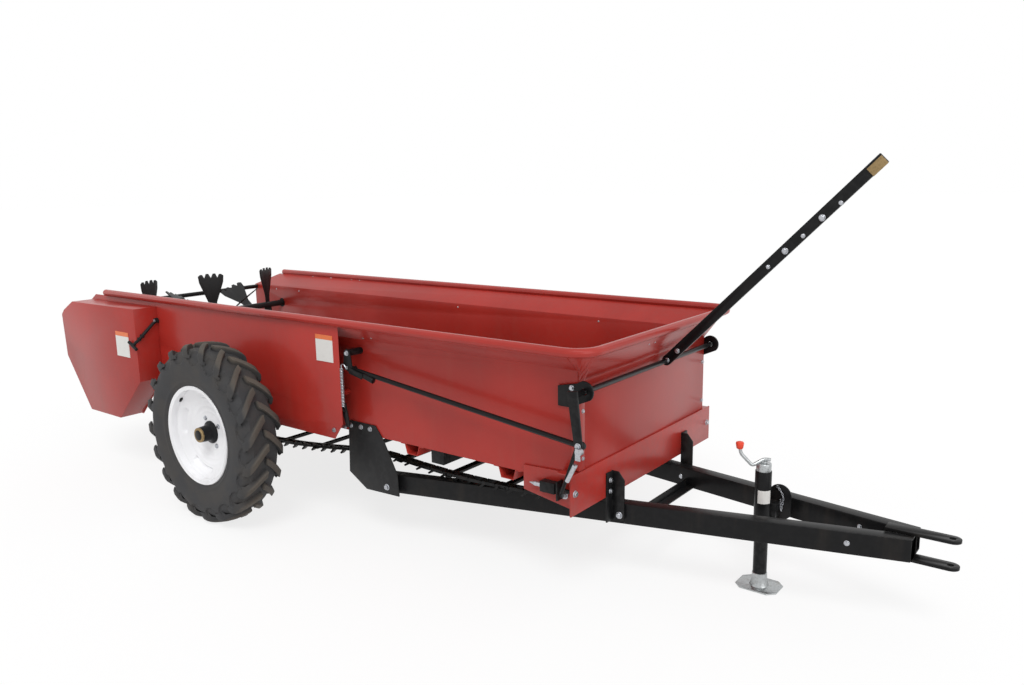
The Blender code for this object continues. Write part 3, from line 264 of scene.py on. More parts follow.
def rubber(name, tone):
    """Moulded tyre rubber, greyer and browner where dust has settled."""
    made, recipe, shader, place = new_finish(name)
    cloud = recipe.noise(place, 9.0, 5.0)
    fine = recipe.noise(place, 240.0, 2.0)
    x, y, z = (recipe.out("ShaderNodeSeparateXYZ", {}, {"Vector": place}, n) for n in range(3))
    forward, up = x - AXLE.x, z - AXLE.z
    reach = ((forward * forward) + (up * up)).math("SQRT")
    tread = reach.smooth(0.376, 0.392)
    dusty = (cloud.smooth(0.38, 0.70) * 0.22 + tread * 0.55).clamped()
    recipe.join(recipe.mix(dusty, shade(tone, 0.86), (*linear(88, 80, 70), 1.0)), shader.inputs["Base Color"])
    recipe.join((0.62 + cloud * 0.22).clamped(), shader.inputs["Roughness"])
    recipe.join(recipe.out("ShaderNodeBump", {}, {"Height": fine * 0.5 + cloud * 0.5, "Strength": 0.25,
                                                  "Distance": 0.0010}), shader.inputs["Normal"])
    return made


def boards(name, tone):
    """Treated planks with long grain and dried spill."""
    made, recipe, shader, place = new_finish(name)
    grain = recipe.noise(recipe.stretched(place, (1.2, 26.0, 26.0)), 3.0, 6.0, 0.65)
    blotch = recipe.noise(place, 3.1, 4.0)
    wood = recipe.mix(grain.smooth(0.3, 0.7), shade(tone, 0.55), shade(tone, 1.05))
    recipe.join(recipe.mix((blotch.smooth(0.5, 0.8) * 0.5).clamped(), wood, shade(tone, 0.4)),
                shader.inputs["Base Color"])
    recipe.join((0.62 + grain * 0.2).clamped(), shader.inputs["Roughness"])
    recipe.join(recipe.out("ShaderNodeBump", {}, {"Height": grain, "Strength": 0.5, "Distance": 0.0015}),
                shader.inputs["Normal"])
    return made


def plain_label(name, tone):
    """A blank printed film with a faint scuff."""
    made, recipe, shader, place = new_finish(name)
    scuff = recipe.noise(place, 60.0, 4.0)
    recipe.join(recipe.mix((scuff.smooth(0.5, 0.8) * 0.3).clamped(), (*tone, 1.0), shade(tone, 0.8)),
                shader.inputs["Base Color"])
    recipe.join((0.32 + scuff * 0.2).clamped(), shader.inputs["Roughness"])
    return made


FINISHES = {}


def make_finishes():
    tone = colours()
    FINISHES.update(
        red=paint("Red_paint", tuple(tone.red), 0.34, 0.12),
        black=paint("Black_paint", tuple(tone.black), 0.34, 0.0, dust=0.04, wear=0.12, gloss=0.16,
                    chip=(0.10, 0.10, 0.10)),
        black_satin=paint("Black_sheet_paint", linear(30, 30, 31), 0.44, 0.0, dust=0.06, wear=0.15, gloss=0.22,
                          chip=(0.14, 0.14, 0.14)),
        white=paint("Wheel_paint", tuple(tone.white), 0.36, 0.3, dust=0.10, wear=0.2, ripple=0.1,
                    chip=(0.45, 0.43, 0.40)),
        rubber=rubber("Tyre_rubber", tuple(tone.rubber)),
        soft_rubber=paint("Latch_rubber", linear(26, 26, 27), 0.55, 0.0, dust=0.03, wear=0.0, gloss=0.2),
        zinc=metal("Zinc_plate", tuple(tone.zinc), 0.30, linear(150, 140, 120)),
        bright=metal("Bright_bolt", linear(176, 178, 183), 0.26, linear(120, 116, 108), spots=0.3),
        steel=metal("Chain_steel", tuple(tone.steel), 0.42, linear(70, 48, 34), spots=0.5),
        brass=metal("Brass_plate", linear(146, 124, 88), 0.40, linear(84, 66, 42), spots=0.5),
        knob=paint("Knob_vinyl", tuple(tone.knob), 0.38, 0.1, dust=0.05, wear=0.0),
        boards=boards("Floor_boards", tuple(tone.boards)),
        label=plain_label("Label_white", linear(222, 220, 216)),
        label_head=plain_label("Label_orange", linear(226, 118, 66)),
    )


# ---------------------------------------------------------------- meshes
def mesh_of(work, name="part"):
    mesh = bpy.data.meshes.new(name)
    work.to_mesh(mesh)
    work.free()
    return mesh


def smooth(mesh, degrees=35.0):
    """Smooth shading that keeps the corners sharper than an angle."""
    mesh.polygons.foreach_set("use_smooth", [True] * len(mesh.polygons))
    mesh.set_sharp_from_angle(angle=math.radians(degrees))
    return mesh


def joined(meshes):
    work = bmesh.new()
    for mesh in meshes:
        work.from_mesh(mesh)
        bpy.data.meshes.remove(mesh)
    return mesh_of(work)


def shift(x, y, z):
    return Matrix.Translation((x, y, z))


def prism(outline, along, low, high, holes=()):
    """A flat outline with holes, pulled from low to high along an axis."""
    axes = {"X": (1, 2, 0), "Y": (0, 2, 1), "Z": (0, 1, 2)}[along]
    curve = bpy.data.curves.new("outline", "CURVE")
    curve.dimensions = "2D"
    curve.fill_mode = "BOTH"
    curve.extrude = (high - low) / 2
    for loop in (outline, *holes):
        spline = curve.splines.new("POLY")
        spline.points.add(len(loop) - 1)
        for point, (a, b) in zip(spline.points, loop):
            point.co = (a, b, 0.0, 1.0)
        spline.use_cyclic_u = True
    mesh = plain(bpy.data.objects.new("outline", curve))
    turn = Matrix([[1.0 if row == axes[column] else 0.0 for column in range(3)] for row in range(3)]).to_4x4()
    turn[axes[2]][3] = (low + high) / 2
    mesh.transform(turn)
    return closed(mesh)


def closed(mesh, distance=0.00001):
    work = bmesh.new()
    work.from_mesh(mesh)
    bmesh.ops.remove_doubles(work, verts=work.verts, dist=distance)
    bmesh.ops.recalc_face_normals(work, faces=work.faces)
    work.to_mesh(mesh)
    work.free()
    return mesh


def plain(thing):
    """The finished mesh of an object with its modifiers applied; the object goes."""
    bpy.context.scene.collection.objects.link(thing)
    bpy.context.view_layer.update()
    graph = bpy.context.evaluated_depsgraph_get()
    mesh = bpy.data.meshes.new_from_object(thing.evaluated_get(graph))
    bpy.data.objects.remove(thing, do_unlink=True)
    return mesh


def softened(mesh, width, segments=2, degrees=30.0):
    """Rounded edges, as rolled and sheared steel has."""
    thing = bpy.data.objects.new("softened", mesh)
    bevel = thing.modifiers.new("Edge", "BEVEL")
    bevel.width = width
    bevel.segments = segments
    bevel.limit_method = "ANGLE"
    bevel.angle_limit = math.radians(degrees)
    bevel.use_clamp_overlap = True
    return plain(thing)


def cad_copy(node):
    """A clean copy of a CAD node: its triangles merged into whole faces."""
    work = bmesh.new()
    work.from_mesh(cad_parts[node].data)
    bmesh.ops.remove_doubles(work, verts=work.verts, dist=0.00002)
    bmesh.ops.dissolve_limit(work, angle_limit=math.radians(0.6), verts=work.verts, edges=work.edges)
    return mesh_of(work, node)


def rod(start, end, radius, sides=16, tip=None):
    start, end = Vector(start), Vector(end)
    work = bmesh.new()
    bmesh.ops.create_cone(work, cap_ends=True, segments=sides, radius1=radius,
                          radius2=radius if tip is None else tip, depth=(end - start).length)
    turn = (end - start).to_track_quat("Z", "Y")
    bmesh.ops.transform(work, matrix=Matrix.LocRotScale((start + end) / 2, turn, None), verts=work.verts)
    return mesh_of(work)


def rounded_path(path, radius, steps=6):
    """A line of points with each corner turned into a bend."""
    path = [Vector(p) for p in path]
    made = [path[0]]
    for before, corner, after in zip(path, path[1:], path[2:]):
        reach = min(radius, (before - corner).length * 0.45, (after - corner).length * 0.45)
        start = corner + (before - corner).normalized() * reach
        end = corner + (after - corner).normalized() * reach
        for n in range(steps + 1):
            t = n / steps
            made.append(start * (1 - t) ** 2 + corner * 2 * t * (1 - t) + end * t ** 2)
    made.append(path[-1])
    return made


def tube(path, radius, sides=12, cyclic=False):
    """A round bar along a line of points, with closed ends."""
    curve = bpy.data.curves.new("tube", "CURVE")
    curve.dimensions = "3D"
    curve.bevel_depth = radius
    curve.bevel_resolution = max(1, sides // 4)
    curve.use_fill_caps = not cyclic
    spline = curve.splines.new("POLY")
    spline.points.add(len(path) - 1)
    for point, place in zip(spline.points, path):
        point.co = (*place, 1.0)
    spline.use_cyclic_u = cyclic
    return closed(plain(bpy.data.objects.new("tube", curve)))


def banded(work, rings):
    """Faces between each ring of points and the next, all the way round."""
    for first, second in zip(rings, rings[1:] + rings[:1]):
        for m in range(len(first)):
            k = (m + 1) % len(first)
            work.faces.new((first[m], first[k], second[k], second[m]))


def turned(profile, steps=96, side=RIGHT, place=(0, 0, 0)):
    """A ring turned about a line along Y from a closed loop of (radius, outward offset) points."""
    work = bmesh.new()
    rings = []
    for n in range(steps):
        angle = 2 * math.pi * n / steps
        rings.append([work.verts.new((r * math.cos(angle), side * o, r * math.sin(angle))) for r, o in profile])
    banded(work, rings)
    bmesh.ops.translate(work, verts=work.verts, vec=place)
    bmesh.ops.recalc_face_normals(work, faces=work.faces)
    return mesh_of(work)


def disc_turned(profile, steps=48, side=RIGHT, place=(0, 0, 0)):
    """A solid turned about a line along Y from an open (radius, offset) line that starts and ends on the axis."""
    work = bmesh.new()
    inner = profile[1:-1]
    rings = []
    for n in range(steps):
        angle = 2 * math.pi * n / steps
        rings.append([work.verts.new((r * math.cos(angle), side * o, r * math.sin(angle))) for r, o in inner])
    poles = [work.verts.new((0, side * profile[0][1], 0)), work.verts.new((0, side * profile[-1][1], 0))]
    for n in range(steps):
        first, second = rings[n], rings[(n + 1) % steps]
        for m in range(len(inner) - 1):
            work.faces.new((first[m], first[m + 1], second[m + 1], second[m]))
        work.faces.new((poles[0], first[0], second[0]))
        work.faces.new((poles[1], second[-1], first[-1]))
    bmesh.ops.translate(work, verts=work.verts, vec=place)
    bmesh.ops.recalc_face_normals(work, faces=work.faces)
    return mesh_of(work)


def circle(a, b, radius, count=24, start=0.0):
    steps = [start + 2 * math.pi * n / count for n in range(count)]
    return [(a + radius * math.cos(t), b + radius * math.sin(t)) for t in steps]


def circle_round(place, aim, radius, count=16):
    """Points of a ring round a place, square to an aim."""
    turn = aim.to_track_quat("Z", "Y").to_matrix()
    return [place + turn @ Vector((a, b, 0)) for a, b in circle(0, 0, radius, count)]


def block(low, high):
    work = bmesh.new()
    bmesh.ops.create_cube(work, size=1.0)
    low, high = Vector(low), Vector(high)
    bmesh.ops.transform(work, matrix=Matrix.LocRotScale((low + high) / 2, None, high - low), verts=work.verts)
    return mesh_of(work)


def keep(name, mesh, body, finish, stands_for=(), degrees=35.0):
    """Puts a finished piece in the scene, on its body, in place of the CAD nodes it stands for."""
    smooth(mesh, degrees)
    mesh.name = name
    mesh.materials.clear()
    mesh.materials.append(FINISHES[finish])
    thing = bpy.data.objects.new(name, mesh)
    bpy.context.scene.collection.objects.link(thing)
    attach(thing, body)
    if stands_for:
        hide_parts(*stands_for)
    return thing


def dress(node, body, finish, width, segments=2):
    """A carried-over CAD piece with rounded edges and its real finish."""
    mesh = softened(cad_copy(node), width, segments)
    return keep(node + "_dressed", mesh, body, finish, (node,))


# ---------------------------------------------------------------- trees that repeat a template
def new_tree(name, sockets):
    tree = bpy.data.node_groups.new(name, "GeometryNodeTree")
    tree.interface.new_socket(name="Geometry", in_out="OUTPUT", socket_type="NodeSocketGeometry")
    tree.interface.new_socket(name="Geometry", in_out="INPUT", socket_type="NodeSocketGeometry")
    for label, kind in sockets:
        tree.interface.new_socket(name=label, in_out="INPUT", socket_type="NodeSocket" + kind)
    recipe = Recipe(tree)
    start = recipe.add("NodeGroupInput")
    return recipe, {socket.name: Wire(recipe, socket) for socket in start.outputs if socket.name}


def end_tree(recipe, geometry, finish):
    real = recipe.out("GeometryNodeRealizeInstances", {}, {0: geometry})
    painted = recipe.out("GeometryNodeSetMaterial", {}, {"Geometry": real, "Material": finish})
    recipe.add("NodeGroupOutput", {}, {0: painted})
    return recipe.tree


def template(recipe, thing):
    return recipe.out("GeometryNodeObjectInfo", {"transform_space": "ORIGINAL"},
                      {"Object": thing, "As Instance": True}, "Geometry")


def placing_tree():
    """Copies of a template on points, each turned to the point's own aim and scaled to its own size."""
    recipe, given = new_tree("Place_on_points", (("Template", "Object"), ("Size", "Float"),
                                                 ("Finish", "Material")))
    aim = recipe.out("GeometryNodeInputNamedAttribute", {"data_type": "FLOAT_VECTOR"}, {"Name": "aim"})
    size = recipe.out("GeometryNodeInputNamedAttribute", {"data_type": "FLOAT"}, {"Name": "size"})
    turn = recipe.out("FunctionNodeAlignRotationToVector", {"axis": "Z"}, {"Vector": aim})
    points = recipe.out("GeometryNodeMeshToPoints", {}, {"Mesh": given["Geometry"]})
    copies = recipe.out("GeometryNodeInstanceOnPoints", {},
                        {"Points": points, "Instance": template(recipe, given["Template"]), "Rotation": turn,
                         "Scale": size * given["Size"]})
    return end_tree(recipe, copies, given["Finish"])


def ring_tree():
    """Copies of a template round a line along Y."""
    recipe, given = new_tree("Repeat_round_a_ring", (("Template", "Object"), ("Count", "Int"), ("Start", "Float"),
                                                     ("Finish", "Material")))
    points = recipe.out("GeometryNodePoints", {}, {"Count": given["Count"]})
    index = recipe.out("GeometryNodeInputIndex")
    turn = recipe.out("ShaderNodeCombineXYZ", {}, {1: index * (2 * math.pi) / given["Count"] + given["Start"]})
    copies = recipe.out("GeometryNodeInstanceOnPoints", {},
                        {"Points": points, "Instance": template(recipe, given["Template"]), "Rotation": turn})
    return end_tree(recipe, copies, given["Finish"])


def following_tree():
    """Copies of a template at an even pitch along a closed line that lies across Y."""
    recipe, given = new_tree("Follow_a_loop", (("Template", "Object"), ("Count", "Int"), ("Finish", "Material")))
    line = recipe.out("GeometryNodeMeshToCurve", {}, {"Mesh": given["Geometry"]})
    even = recipe.add("GeometryNodeCurveToPoints", {"mode": "COUNT"}, {"Curve": line, "Count": given["Count"]})
    tangent = Wire(recipe, even.outputs["Tangent"])
    x, z = (recipe.out("ShaderNodeSeparateXYZ", {}, {"Vector": tangent}, n) for n in (0, 2))
    turn = recipe.out("ShaderNodeCombineXYZ", {}, {1: z.math("ARCTAN2", x) * -1.0})
    copies = recipe.out("GeometryNodeInstanceOnPoints", {},
                        {"Points": Wire(recipe, even.outputs["Points"]),
                         "Instance": template(recipe, given["Template"]), "Rotation": turn})
    return end_tree(recipe, copies, given["Finish"])


TREES = {}


def make_trees():
    TREES.update(place=placing_tree(), ring=ring_tree(), follow=following_tree())


def grown(tree, start, shape, finish, **values):
    """Runs a tree on a start mesh with a template shape and gives the plain mesh."""
    pattern = bpy.data.objects.new("pattern", shape)
    bpy.context.scene.collection.objects.link(pattern)
    holder = bpy.data.objects.new("holder", start)
    modifier = holder.modifiers.new("Grow", "NODES")
    modifier.node_group = TREES[tree]
    given = {"Template": pattern, "Finish": FINISHES[finish], **values}
    for item in TREES[tree].interface.items_tree:
        if item.item_type == "SOCKET" and item.in_out == "INPUT" and item.name in given:
            modifier[item.identifier] = given[item.name]
    mesh = plain(holder)
    bpy.data.objects.remove(pattern, do_unlink=True)
    return mesh


def points_mesh(rows):
    """A mesh of loose points that carry an aim and a size."""
    mesh = bpy.data.meshes.new("points")
    mesh.from_pydata([tuple(place) for place, aim, size in rows], [], [])
    mesh.attributes.new("aim", "FLOAT_VECTOR", "POINT")
    mesh.attributes.new("size", "FLOAT", "POINT")
    for n, (place, aim, size) in enumerate(rows):
        mesh.attributes["aim"].data[n].vector = aim
        mesh.attributes["size"].data[n].value = size
    return mesh


def loop_mesh(path):
    mesh = bpy.data.meshes.new("loop")
    count = len(path)
    mesh.from_pydata([tuple(p) for p in path], [(n, (n + 1) % count) for n in range(count)], [])
    return mesh


def hex_bolt():
    """A hexagon head on a washer, standing on the plate it holds, with a head radius of one."""
    washer = [(0.0, -0.10), (1.28, -0.10), (1.28, 0.10), (1.18, 0.18), (0.0, 0.18)]
    ring = disc_turned(washer, 20, LEFT)
    ring.transform(Matrix.Rotation(math.radians(90), 4, "X"))
    work = bmesh.new()
    bmesh.ops.create_cone(work, cap_ends=True, segments=6, radius1=1.0, radius2=1.0, depth=0.62)
    bmesh.ops.translate(work, verts=work.verts, vec=(0, 0, 0.45))
    top = max(work.faces, key=lambda f: f.calc_center_median().z)
    bmesh.ops.inset_region(work, faces=[top], thickness=0.14, depth=0.10)
    return smooth(joined([ring, mesh_of(work)]), 30)


def carriage_bolt():
    """A low domed head."""
    dome = [(0.0, -0.12), (1.0, -0.12), (1.0, 0.06), (0.86, 0.26), (0.58, 0.42), (0.0, 0.50)]
    shape = disc_turned(dome, 16, LEFT)
    shape.transform(Matrix.Rotation(math.radians(90), 4, "X"))
    return smooth(shape, 40)


# ---------------------------------------------------------------- the box
FRONT_FACE = 1.7186            # front panel, ahead of the axle
SHIELD_FACE = -0.5700
GUARD_FACE = -0.6915
PLATE_FACE = 0.4903            # outside of the gussets and bearing plates


class SPREADER_OT_box(bpy.types.Operator):
    """Sides, front panel, corner strips and the rounded top rail"""
    bl_idname = "spreader.box"
    bl_label = "Box"

    def execute(self, context):
        size = sizes()
        for name, side in SIDES:
            dress("box_side_" + name, "chassis", "red", size.edge)
        dress("box_front", "chassis", "red", size.edge)
        dress("top_rail", "chassis", "red", size.edge)
        self.corners()
        return {"FINISHED"}

    def corners(self):
        """The right front corner's folded strip, with the gusset that stiffens the flare."""
        face = at(FRONT_FACE, 0, 0).x
        strip = [(face + 0.0002, -0.452), (face + 0.0034, -0.452), (face + 0.0034, -0.4872),
                 (face - 0.028, -0.4872), (face - 0.028, -0.4843), (face + 0.0002, -0.4843)]
        gusset = [(face + 0.001, 0.752), (face + 0.001, 0.795), (face + 0.034, 0.845), (face + 0.036, 0.835)]
        parts = [softened(prism(strip, "Z", 0.4805, 0.780), 0.0008), prism(gusset, "Y", -0.4820, -0.4790)]
        keep("corner_strips", joined(parts), "chassis", "red")


class SPREADER_OT_floor(bpy.types.Operator):
    """Planked floor on its hat-section sills"""
    bl_idname = "spreader.floor"
    bl_label = "Floor"

    def execute(self, context):
        low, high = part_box("floor")
        count = sizes().planks
        width = (high.y - low.y) / count
        planks = []
        for n in range(count):
            start = low.y + n * width
            planks.append(block((low.x, start + 0.0010, low.z), (high.x, start + width - 0.0010, high.z)))
        keep("floor_planks", softened(joined(planks), 0.0015), "chassis", "boards", ("floor",))
        for node in sorted(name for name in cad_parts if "sill" in name):
            dress(node, "chassis", "red", sizes().edge)
        return {"FINISHED"}


class SPREADER_OT_running_frame(bpy.types.Operator):
    """Front channel, drawbar rails, gussets, brackets, strut, beam and hitch straps"""
    bl_idname = "spreader.running_frame"
    bl_label = "Frame and drawbar"

    def execute(self, context):
        size = sizes()
        dress("front_channel", "chassis", "red", size.edge)
        for name, side in SIDES:
            dress("drawbar_rail_" + name, "chassis", "black", 0.0045, 3)
            dress("gusset_" + name, "chassis", "black_satin", size.edge)
            self.bracket(name, side)
            dress("shaft_plate_" + name, "chassis", "black", size.edge)
            dress("beater_bearing_" + name, "chassis", "black", size.edge)
        for node in ("cross_beam", "hitch_strap_upper", "hitch_strap_lower"):
            dress(node, "chassis", "black", size.plate_edge)
        self.strut()
        self.take_up_blocks()
        return {"FINISHED"}

    def bracket(self, name, side):
        """An angle that carries the channel on the rail, with one corner of its side leaf cut off."""
        low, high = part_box("channel_bracket_" + name)
        face = sorted((side * 0.3184, side * 0.2724))
        leaf = sorted((side * 0.2724, side * 0.2784))
        front = block((low.x, face[0], low.z), (low.x + 0.006, face[1], high.z))
        cut = [(low.x + 0.001, low.z), (high.x, low.z + 0.004), (high.x, high.z - 0.030),
               (high.x - 0.024, high.z), (low.x + 0.001, high.z)]
        flank = prism(cut, "Y", *leaf)
        shape = softened(joined([front, flank]), sizes().edge)
        keep("channel_bracket_" + name + "_angle", shape, "chassis", "black",
             ("channel_bracket_" + name,))

    def strut(self):
        """A light angle between the rails, behind the jack."""
        x = at(1.800, 0, 0).x
        angle = [(x - 0.019, 0.229), (x + 0.019, 0.229), (x + 0.019, 0.234), (x - 0.014, 0.234),
                 (x - 0.014, 0.262), (x - 0.019, 0.262)]
        shape = softened(prism(angle, "Y", -0.2205, 0.2205), 0.001)
        keep("frame_strut_angle", shape, "chassis", "black", ("frame_strut",))

    def take_up_blocks(self):
        """Screw blocks that tighten the apron, on the outside of the channel's ends."""
        blocks, points = [], []
        for side in (RIGHT, LEFT):
            face = side * 0.4905
            place = at(1.612, 0, 0.410)
            low, high = sorted((face + side * 0.0003, face + side * 0.030))
            blocks.append(block((place.x - 0.032, low, 0.390), (place.x + 0.030, high, 0.429)))
            plate = sorted((face + side * 0.0002, face + side * 0.036))
            blocks.append(block((place.x + 0.040, plate[0], 0.372), (place.x + 0.047, plate[1], 0.440)))
            centre = face + side * 0.017
            blocks.append(rod((place.x + 0.030, centre, 0.408), (place.x + 0.098, centre, 0.408), 0.0075))
            shoulder = (place.x - 0.060, centre, 0.410)
            points.append(rod(shoulder, (place.x - 0.030, centre, 0.410), 0.0085))
            points.append(rod(shoulder, (place.x - 0.083, centre, 0.410), 0.0085, 16, 0.0015))
        keep("take_up_blocks", softened(joined(blocks), 0.0015), "chassis", "black")
        keep("take_up_screws", joined(points), "chassis", "bright")


class SPREADER_OT_guards(bpy.types.Operator):
    """Outer shield, hinged chain guard, its latch and the blank labels"""
    bl_idname = "spreader.guards"
    bl_label = "Shield and guard"

    def execute(self, context):
        size = sizes()
        dress("outer_shield", "chassis", "red", size.edge)
        dress("chain_guard", "guard", "red", size.edge)
        self.label("shield_label", (0.494, 0.596), (0.737, 0.847), SHIELD_FACE, "chassis")
        self.label("guard_label", (-0.893, -0.773), (0.622, 0.746), GUARD_FACE, "guard")
        self.latch()
        return {"FINISHED"}

    def label(self, name, width, height, face, body):
        """A blank decal with a coloured head band."""
        left, right = at(width[0], 0, 0).x, at(width[1], 0, 0).x
        split = height[1] - 0.17 * (height[1] - height[0])
        front = face - 0.0007
        body_part = block((left, front, height[0]), (right, face + 0.0018, split - 0.0002))
        head_part = block((left, front, split + 0.0002), (right, face + 0.0018, height[1]))
        keep(name, body_part, body, "label")
        keep(name + "_head", head_part, body, "label_head")

    def latch(self):
        """A T-shaped rubber latch that draws the guard's front lip to the shield."""
        anchor, end = at(-0.7000, SHIELD_FACE - 0.012, 0.7990), at(-0.7180, GUARD_FACE - 0.010, 0.6900)
        lip = at(-0.6960, GUARD_FACE + 0.020, 0.7250)
        path = rounded_path([anchor, lip, end], 0.02)
        strap = tube(path, 0.0078, 12)
        rings = [tube(circle_round(path[n], path[n + 1] - path[n], 0.0095), 0.0032, 8, cyclic=True)
                 for n in (2, 5)]
        across = Vector((0.90, 0.0, -0.436))
        handle = rod(end - across * 0.036, end + across * 0.036, 0.0078)
        foot = rod(anchor + Vector((0, 0.010, 0)), anchor - Vector((0, 0.008, 0)), 0.0125, 24)
        keep("guard_latch", joined([strap, handle, foot, *rings]), "chassis", "soft_rubber")


WHEEL_TRACK = 0.762            # middle of a tyre from the middle of the machine
TREAD_RADIUS = 0.385
LUG_TOP = 0.3945
POCKET_TOP = 0.3660            # radii where a pocket starts, where it rounds off and where it ends
POCKET_BASE = 0.3500
POCKET_FLOOR = 0.3150
POCKET_REACH = 0.0440          # half of a pocket's width
# the disc's pressed rings, as (radius, height, width)
PRESSED_RINGS = ((0.118, 0.0028, 0.006), (0.094, 0.0022, 0.005), (0.143, 0.0018, 0.005))
# the disc's dents, as (middle, half length) in degrees
DENTS = ((169, 17), (253, 19), (349, 17), (73, 19))
LUG_BOLT_CIRCLE = 0.067


class SPREADER_OT_wheels(bpy.types.Operator):
    """Tyres, dished wheels, hubs and the axle"""
    bl_idname = "spreader.wheels"
    bl_label = "Wheels and axle"

    def execute(self, context):
        for name, side in SIDES:
            place = (AXLE.x, side * WHEEL_TRACK, AXLE.z)
            body = "wheel_" + name + "_set"
            keep("tyre_" + name + "_lugged", self.tyre(side, place), body, "rubber",
                 ("tyre_" + name,), 40)
            keep("wheel_" + name + "_rim", self.wheel(side, place), body, "white",
                 ("wheel_" + name,), 35)
            keep("hub_" + name, self.hub(side, place), body, "black", (), 30)
            ring = [(0.0225, 0.060), (0.031, 0.060), (0.0325, 0.0625), (0.0325, 0.0675), (0.031, 0.070),
                    (0.0225, 0.070)]
            keep("hub_ring_" + name, turned(ring, 48, side, place), body, "brass")
            keep("lug_bolts_" + name, self.lug_bolts(side, place), body, "bright")
            valve = rod((place[0] - 0.158, place[1] + side * 0.046, place[2] + 0.127),
                        (place[0] - 0.137, place[1] + side * 0.051, place[2] + 0.140), 0.0075, 16, 0.0058)
            keep("valve_" + name, valve, body, "soft_rubber")
        dress("axle", "chassis", "black", 0.0015)
        return {"FINISHED"}

    def carcass(self, offset):
        """Radius of the tyre's casing at an offset from its middle."""
        share = min(1.0, abs(offset) / 0.0905)
        return 0.373 - 0.010 * share ** 2 - 0.030 * max(0.0, share - 0.80) ** 1.4 / 0.2 ** 1.4

    def tyre(self, side, place):
        parts = [self.casing(side)]
        count = sizes().lugs
        for half in (LEFT, RIGHT):
            shape = self.lug(half * side)
            parts.append(grown("ring", points_mesh([]), smooth(shape), "rubber", Count=count,
                               Start=0.0 if half == LEFT else math.pi / count))
        whole = joined(parts)
        whole.transform(Matrix.Translation(place))
        return whole

    def casing(self, side):
        """The tyre's casing, with a rounded pocket pressed into the shoulder between each two bars."""
        half = [(self.carcass(o), o) for o in (0.0, 0.015, 0.030, 0.045, 0.056)]
        half += [(0.3640, 0.0640), (0.3620, 0.0700), (0.3590, 0.0750), (0.3555, 0.0790), (0.3510, 0.0822),
                 (0.3465, 0.0848), (0.3420, 0.0868), (0.3375, 0.0883), (0.3330, 0.0893), (0.3285, 0.0900),
                 (0.3240, 0.0905), (0.3195, 0.0909), (0.3150, 0.0912), (0.3105, 0.0914), (0.3050, 0.0915),
                 (0.2920, 0.0912), (0.2720, 0.0895), (0.2520, 0.0855), (0.2440, 0.0842), (0.2400, 0.0848),
                 (0.2360, 0.0842), (0.2300, 0.0805), (0.2220, 0.0755), (0.2140, 0.0735), (0.2035, 0.0700)]
        profile = [(r, -o) for r, o in reversed(half[1:])] + half
        count = sizes().lugs
        steps = count * 24
        work = bmesh.new()
        rings = []
        for n in range(steps):
            turn = 2 * math.pi * n / steps
            ring = []
            for r, o in profile:
                start = 0.0 if o > 0 else math.pi / count
                depth = self.pocket(r, turn - start, 2 * math.pi / count)
                sunk_r, sunk_o = r - 0.0035 * depth, o - math.copysign(0.0060 * depth, o)
                ring.append(work.verts.new((sunk_r * math.sin(turn), side * sunk_o, sunk_r * math.cos(turn))))
            rings.append(ring)
        banded(work, rings)
        bmesh.ops.recalc_face_normals(work, faces=work.faces)
        return mesh_of(work)

    def pocket(self, radius, turn, pitch):
        """How far into a pocket a place on the shoulder lies, from 0 to 1."""
        if radius > POCKET_TOP or radius < POCKET_FLOOR:
            return 0.0
        centre = 0.158 / TREAD_RADIUS
        away = abs((turn - centre + pitch / 2) % pitch - pitch / 2) * POCKET_BASE
        below = max(0.0, POCKET_BASE - radius) * 1.35
        inside = POCKET_REACH - math.hypot(away, below)
        top = min(1.0, max(0.0, (POCKET_TOP - radius) / 0.0050))
        share = min(1.0, max(0.0, inside / 0.0060 + 0.5))
        return top * share * share * (3 - 2 * share)

    def lug(self, half):
        """One curved bar of the chevron tread, from the middle of the tread down to the sidewall."""
        top = LUG_TOP
        stations = [(-0.006, top - 0.006, 0.000, 0.60), (-0.003, top, 0.002, 0.90), (0.012, top, 0.013, 0.95),
                    (0.030, top - 0.001, 0.031, 1.0), (0.048, top - 0.003, 0.051, 1.05),
                    (0.064, top - 0.006, 0.070, 1.12), (0.076, top - 0.010, 0.085, 1.20),
                    (0.0845, top - 0.019, 0.096, 1.25), (0.0885, top - 0.034, 0.104, 1.25),
                    (0.0890, top - 0.050, 0.109, 1.05)]
        work = bmesh.new()
        rows = []
        for o, r, lag, width in stations:
            if r > 0.372:
                root_r, root_o = min(self.carcass(o) - 0.004, r - 0.006), o if o < 0.078 else 0.080
            else:
                root_r, root_o = r - 0.002, 0.082
            row = []
            root, shoulder, crown = (root_r, root_o), (r - 0.0018, o - 0.0008), (r, o)
            across = ((-0.0185, root), (-0.0135, shoulder), (-0.0110, crown), (0.0110, crown), (0.0135, shoulder),
                      (0.0185, root))
            for reach, (r_here, o_here) in across:
                angle = (lag + reach * width * 1.15) / TREAD_RADIUS
                row.append(work.verts.new((r_here * math.sin(angle), half * o_here, r_here * math.cos(angle))))
            rows.append(row)
        for first, second in zip(rows, rows[1:]):
            for n in range(5):
                work.faces.new((first[n], first[n + 1], second[n + 1], second[n]))
            work.faces.new((first[5], first[0], second[0], second[5]))
        work.faces.new(rows[0])
        work.faces.new(rows[-1])
        bmesh.ops.recalc_face_normals(work, faces=work.faces)
        return mesh_of(work)

